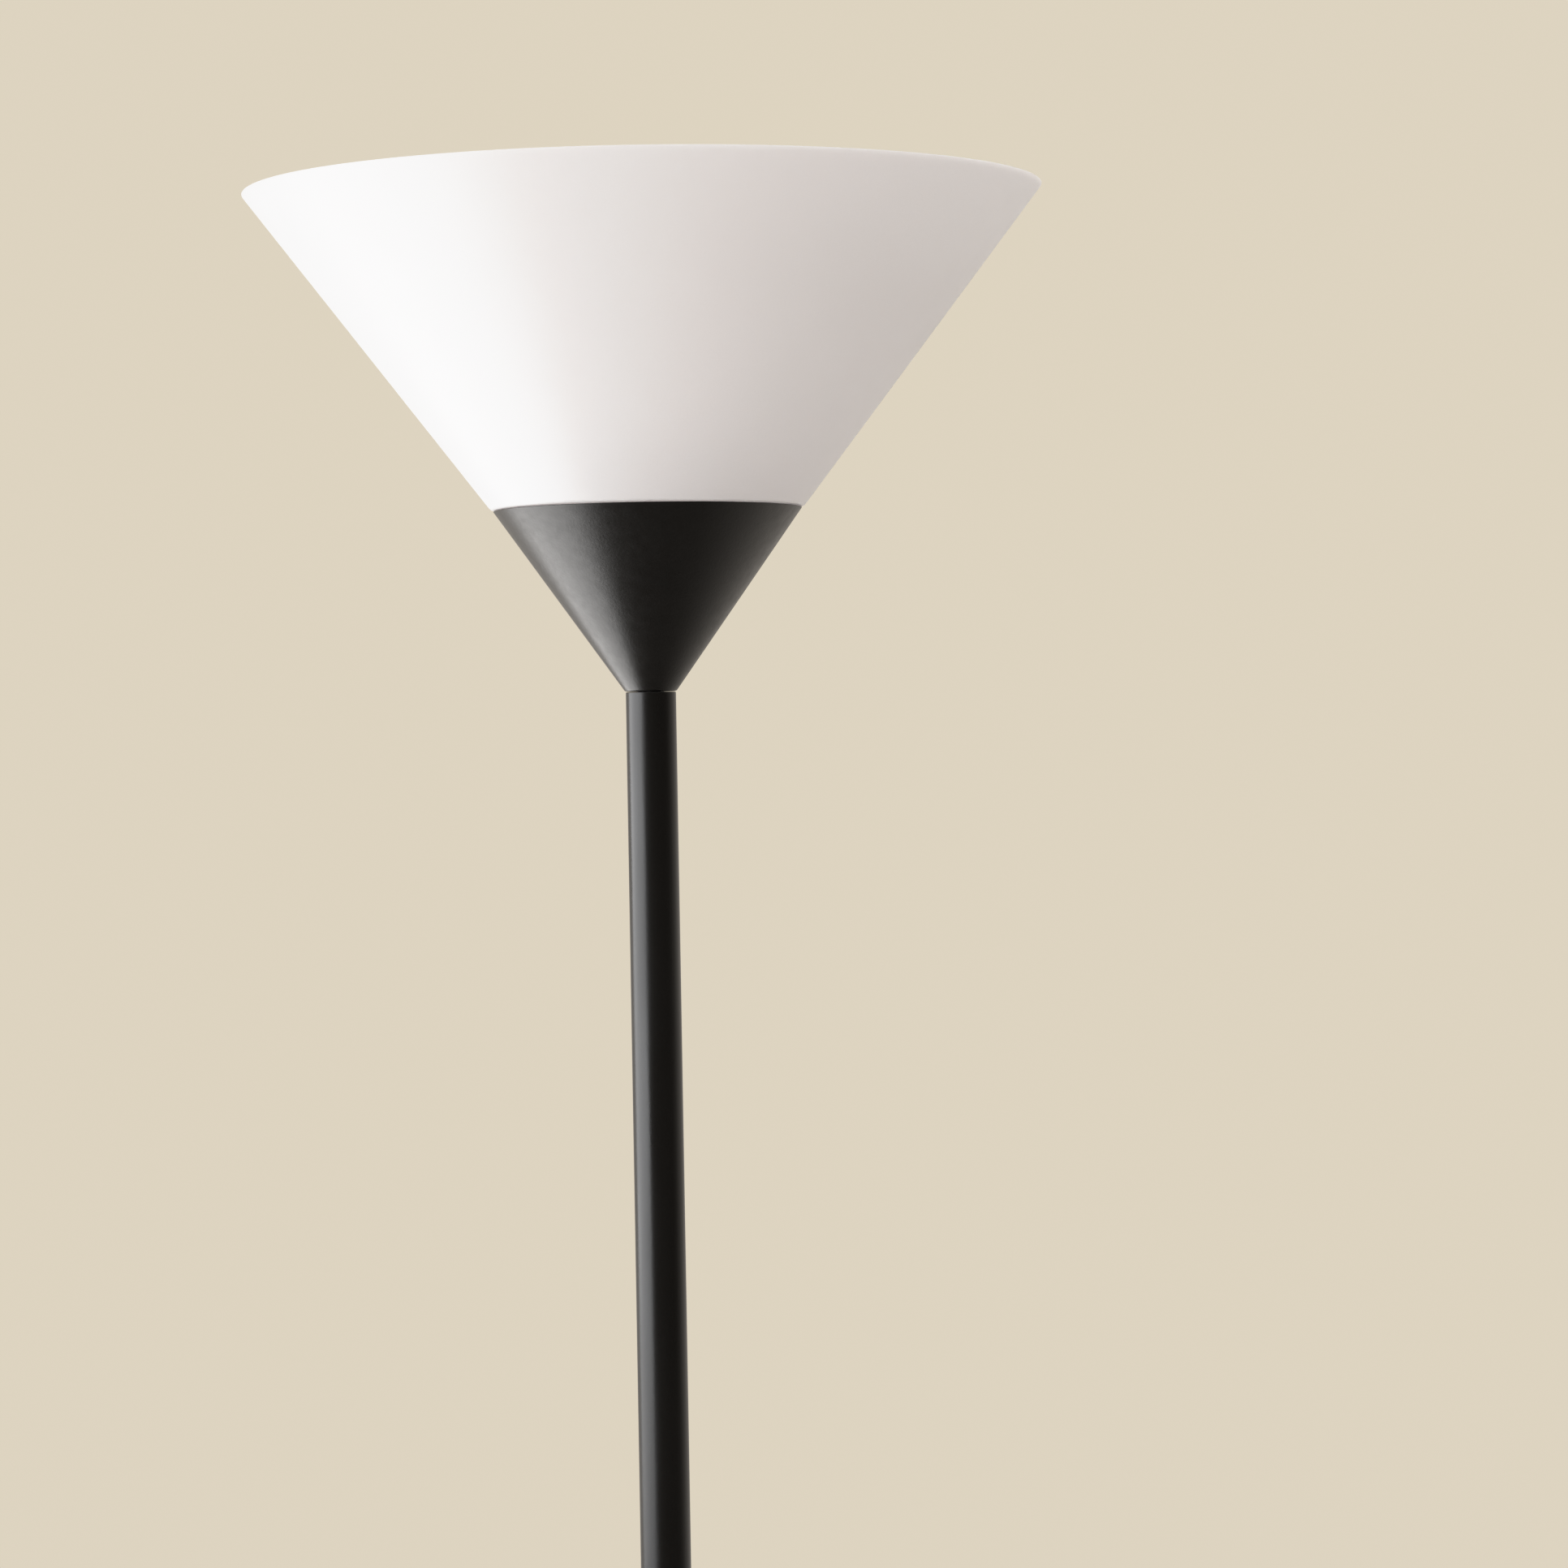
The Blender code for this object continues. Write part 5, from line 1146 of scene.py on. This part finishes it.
class TORCHIERE_OT_stage(bpy.types.Operator):
    """Sets the floor, the soft lights and the camera"""

    bl_idname = "torchiere.stage"
    bl_label = "Stage"

    def execute(self, context):
        scene = context.scene
        sizes = scene.torchiere_stage
        self.make_floor(sizes)
        self.make_surroundings(scene)
        self.set_lights(sizes)
        camera = bpy.data.cameras.new("Camera")
        camera.lens = sizes.camera_lens
        camera.sensor_width = 36
        holder = bpy.data.objects.new("Camera", camera)
        holder.location = (sizes.camera_side, -sizes.camera_distance, sizes.camera_height)
        holder.rotation_euler = (math.pi / 2, sizes.camera_roll, 0)
        scene.collection.objects.link(holder)
        scene.camera = holder
        self.set_highlights(scene.view_settings)
        return {"FINISHED"}

    def set_highlights(self, view):
        """Plain tones up to a light grey, then a soft shoulder so that the lit opal keeps its shape."""
        view.view_transform = "Standard"
        view.use_curve_mapping = True
        brightest = 1.8
        view.curve_mapping.white_level = (brightest, brightest, brightest)
        curve = view.curve_mapping.curves[3]
        curve.points[0].location = (0, 0)
        curve.points[1].location = (1, 0.98)
        for light, shown in ((0.3, 0.3), (0.6, 0.6), (0.8, 0.78), (1.0, 0.9), (1.3, 0.955)):
            curve.points.new(light / brightest, shown)
        view.curve_mapping.update()

    def make_floor(self, sizes):
        radius, thickness = sizes.floor_radius, 0.02
        points = [(0, -thickness), (radius, -thickness), (radius, 0), (0, 0)]
        mesh = turned_mesh("Floor", points, 96)
        mesh.materials.append(finish("floor"))
        floor = bpy.data.objects.new("Floor", mesh)
        # Left out of reflections, so that the satin black stays dark underneath.
        floor.visible_glossy = False
        bpy.context.scene.collection.objects.link(floor)

    def set_lights(self, sizes):
        """A window on the left, a low light beside it, and a bounce from above."""
        window, bounce = sizes.window_brightness, sizes.bounce_brightness
        place, target = (-2.2, -0.45, 1.6), (0, -0.1, 1.55)
        self.soft_box("Window light", place, target, 3.7, 1.3, window, (0.97, 0.98, 1.0))
        place, target = (-1.95, 1.1, 0.05), (-1.95, 1.1, 1.0)
        self.soft_box("Low light", place, target, 1.9, 3.2, window, (0.99, 0.98, 0.97))
        place, target = (0.4, 1.0, 3.6), (0, 0, 1.7)
        self.soft_box("Ceiling bounce", place, target, 2.6, 2.6, bounce, (1.0, 0.94, 0.92))

    def soft_box(self, name, place, target, width, height, brightness, tint):
        """A large rectangular light of an even brightness, turned towards a target."""
        light = bpy.data.lights.new(name, "AREA")
        light.shape = "RECTANGLE"
        light.size, light.size_y = width, height
        light.color = tint
        light.energy = brightness * math.pi * width * height
        lamp = bpy.data.objects.new(name, light)
        lamp.location = place
        lamp.rotation_euler = (Vector(target) - Vector(place)).to_track_quat("-Z", "Y").to_euler()
        lamp.visible_camera = False
        bpy.context.scene.collection.objects.link(lamp)

    def make_surroundings(self, scene):
        """An even backdrop. What the lamp itself is lit by is dim in front and bright behind."""
        world = bpy.data.worlds.new("Studio")
        world.use_nodes = True
        scene.world = world
        nodes, links = world.node_tree.nodes, world.node_tree.links
        front, behind, above = (0.09, 0.08, 0.07, 1), (0.64, 0.59, 0.53, 1), (0.95, 0.91, 0.88, 1)

        def ramp(value, low, high):
            node = nodes.new("ShaderNodeMapRange")
            node.interpolation_type = "SMOOTHSTEP"
            node.inputs["From Min"].default_value = low
            node.inputs["From Max"].default_value = high
            links.new(value, node.inputs["Value"])
            return node.outputs["Result"]

        def mix(share, first, second):
            node = nodes.new("ShaderNodeMix")
            node.data_type = "RGBA"
            links.new(share, node.inputs["Factor"])
            if isinstance(first, tuple):
                node.inputs["A"].default_value = first
            else:
                links.new(first, node.inputs["A"])
            node.inputs["B"].default_value = second
            return node.outputs["Result"]

        direction = nodes.new("ShaderNodeSeparateXYZ")
        links.new(nodes.new("ShaderNodeTexCoord").outputs["Generated"], direction.inputs["Vector"])
        room = mix(ramp(direction.outputs["Y"], -0.35, 0.75), front, behind)
        sky = mix(ramp(direction.outputs["Z"], 0.25, 0.85), room, above)
        is_camera_ray = nodes.new("ShaderNodeLightPath").outputs["Is Camera Ray"]
        seen = mix(is_camera_ray, sky, (*scene.torchiere_colours.backdrop, 1))
        links.new(seen, nodes["Background"].inputs["Color"])


# Panel and registration -------------------------------------------------------------------------------


STEPS = ("shade", "cup", "pole", "base", "switch", "lampholder", "bulb", "fittings", "stage")
GROUPS = {
    "torchiere_shade": ShadeSizes,
    "torchiere_cup": CupSizes,
    "torchiere_pole": PoleSizes,
    "torchiere_base": BaseSizes,
    "torchiere_switch": SwitchSizes,
    "torchiere_holder": HolderSizes,
    "torchiere_bulb": BulbSizes,
    "torchiere_colours": FinishColours,
    "torchiere_stage": StageSizes,
}
OPERATORS = (
    TORCHIERE_OT_shade,
    TORCHIERE_OT_cup,
    TORCHIERE_OT_pole,
    TORCHIERE_OT_base,
    TORCHIERE_OT_switch,
    TORCHIERE_OT_lampholder,
    TORCHIERE_OT_bulb,
    TORCHIERE_OT_fittings,
    TORCHIERE_OT_stage,
)


class TORCHIERE_PT_panel(bpy.types.Panel):
    """Lists the lamp's pieces with their sizes"""

    bl_label = "Torchiere"
    bl_idname = "TORCHIERE_PT_panel"
    bl_space_type = "VIEW_3D"
    bl_region_type = "UI"
    bl_category = "Torchiere"

    def draw(self, context):
        for step in STEPS:
            self.layout.operator(f"torchiere.{step}")
        for group, kind in GROUPS.items():
            box = self.layout.box()
            box.label(text=kind.__doc__)
            for size in kind.__annotations__:
                box.prop(getattr(context.scene, group), size)


def register():
    for kind in (*GROUPS.values(), *OPERATORS, TORCHIERE_PT_panel):
        bpy.utils.register_class(kind)
    for group, kind in GROUPS.items():
        setattr(bpy.types.Scene, group, PointerProperty(type=kind))


def unregister():
    for group in GROUPS:
        delattr(bpy.types.Scene, group)
    for kind in (TORCHIERE_PT_panel, *reversed(OPERATORS), *GROUPS.values()):
        bpy.utils.unregister_class(kind)


def main():
    """Builds the lamp piece by piece."""
    register()
    for step in STEPS:
        getattr(bpy.ops.torchiere, step)()


if __name__ == "__main__":
    main()
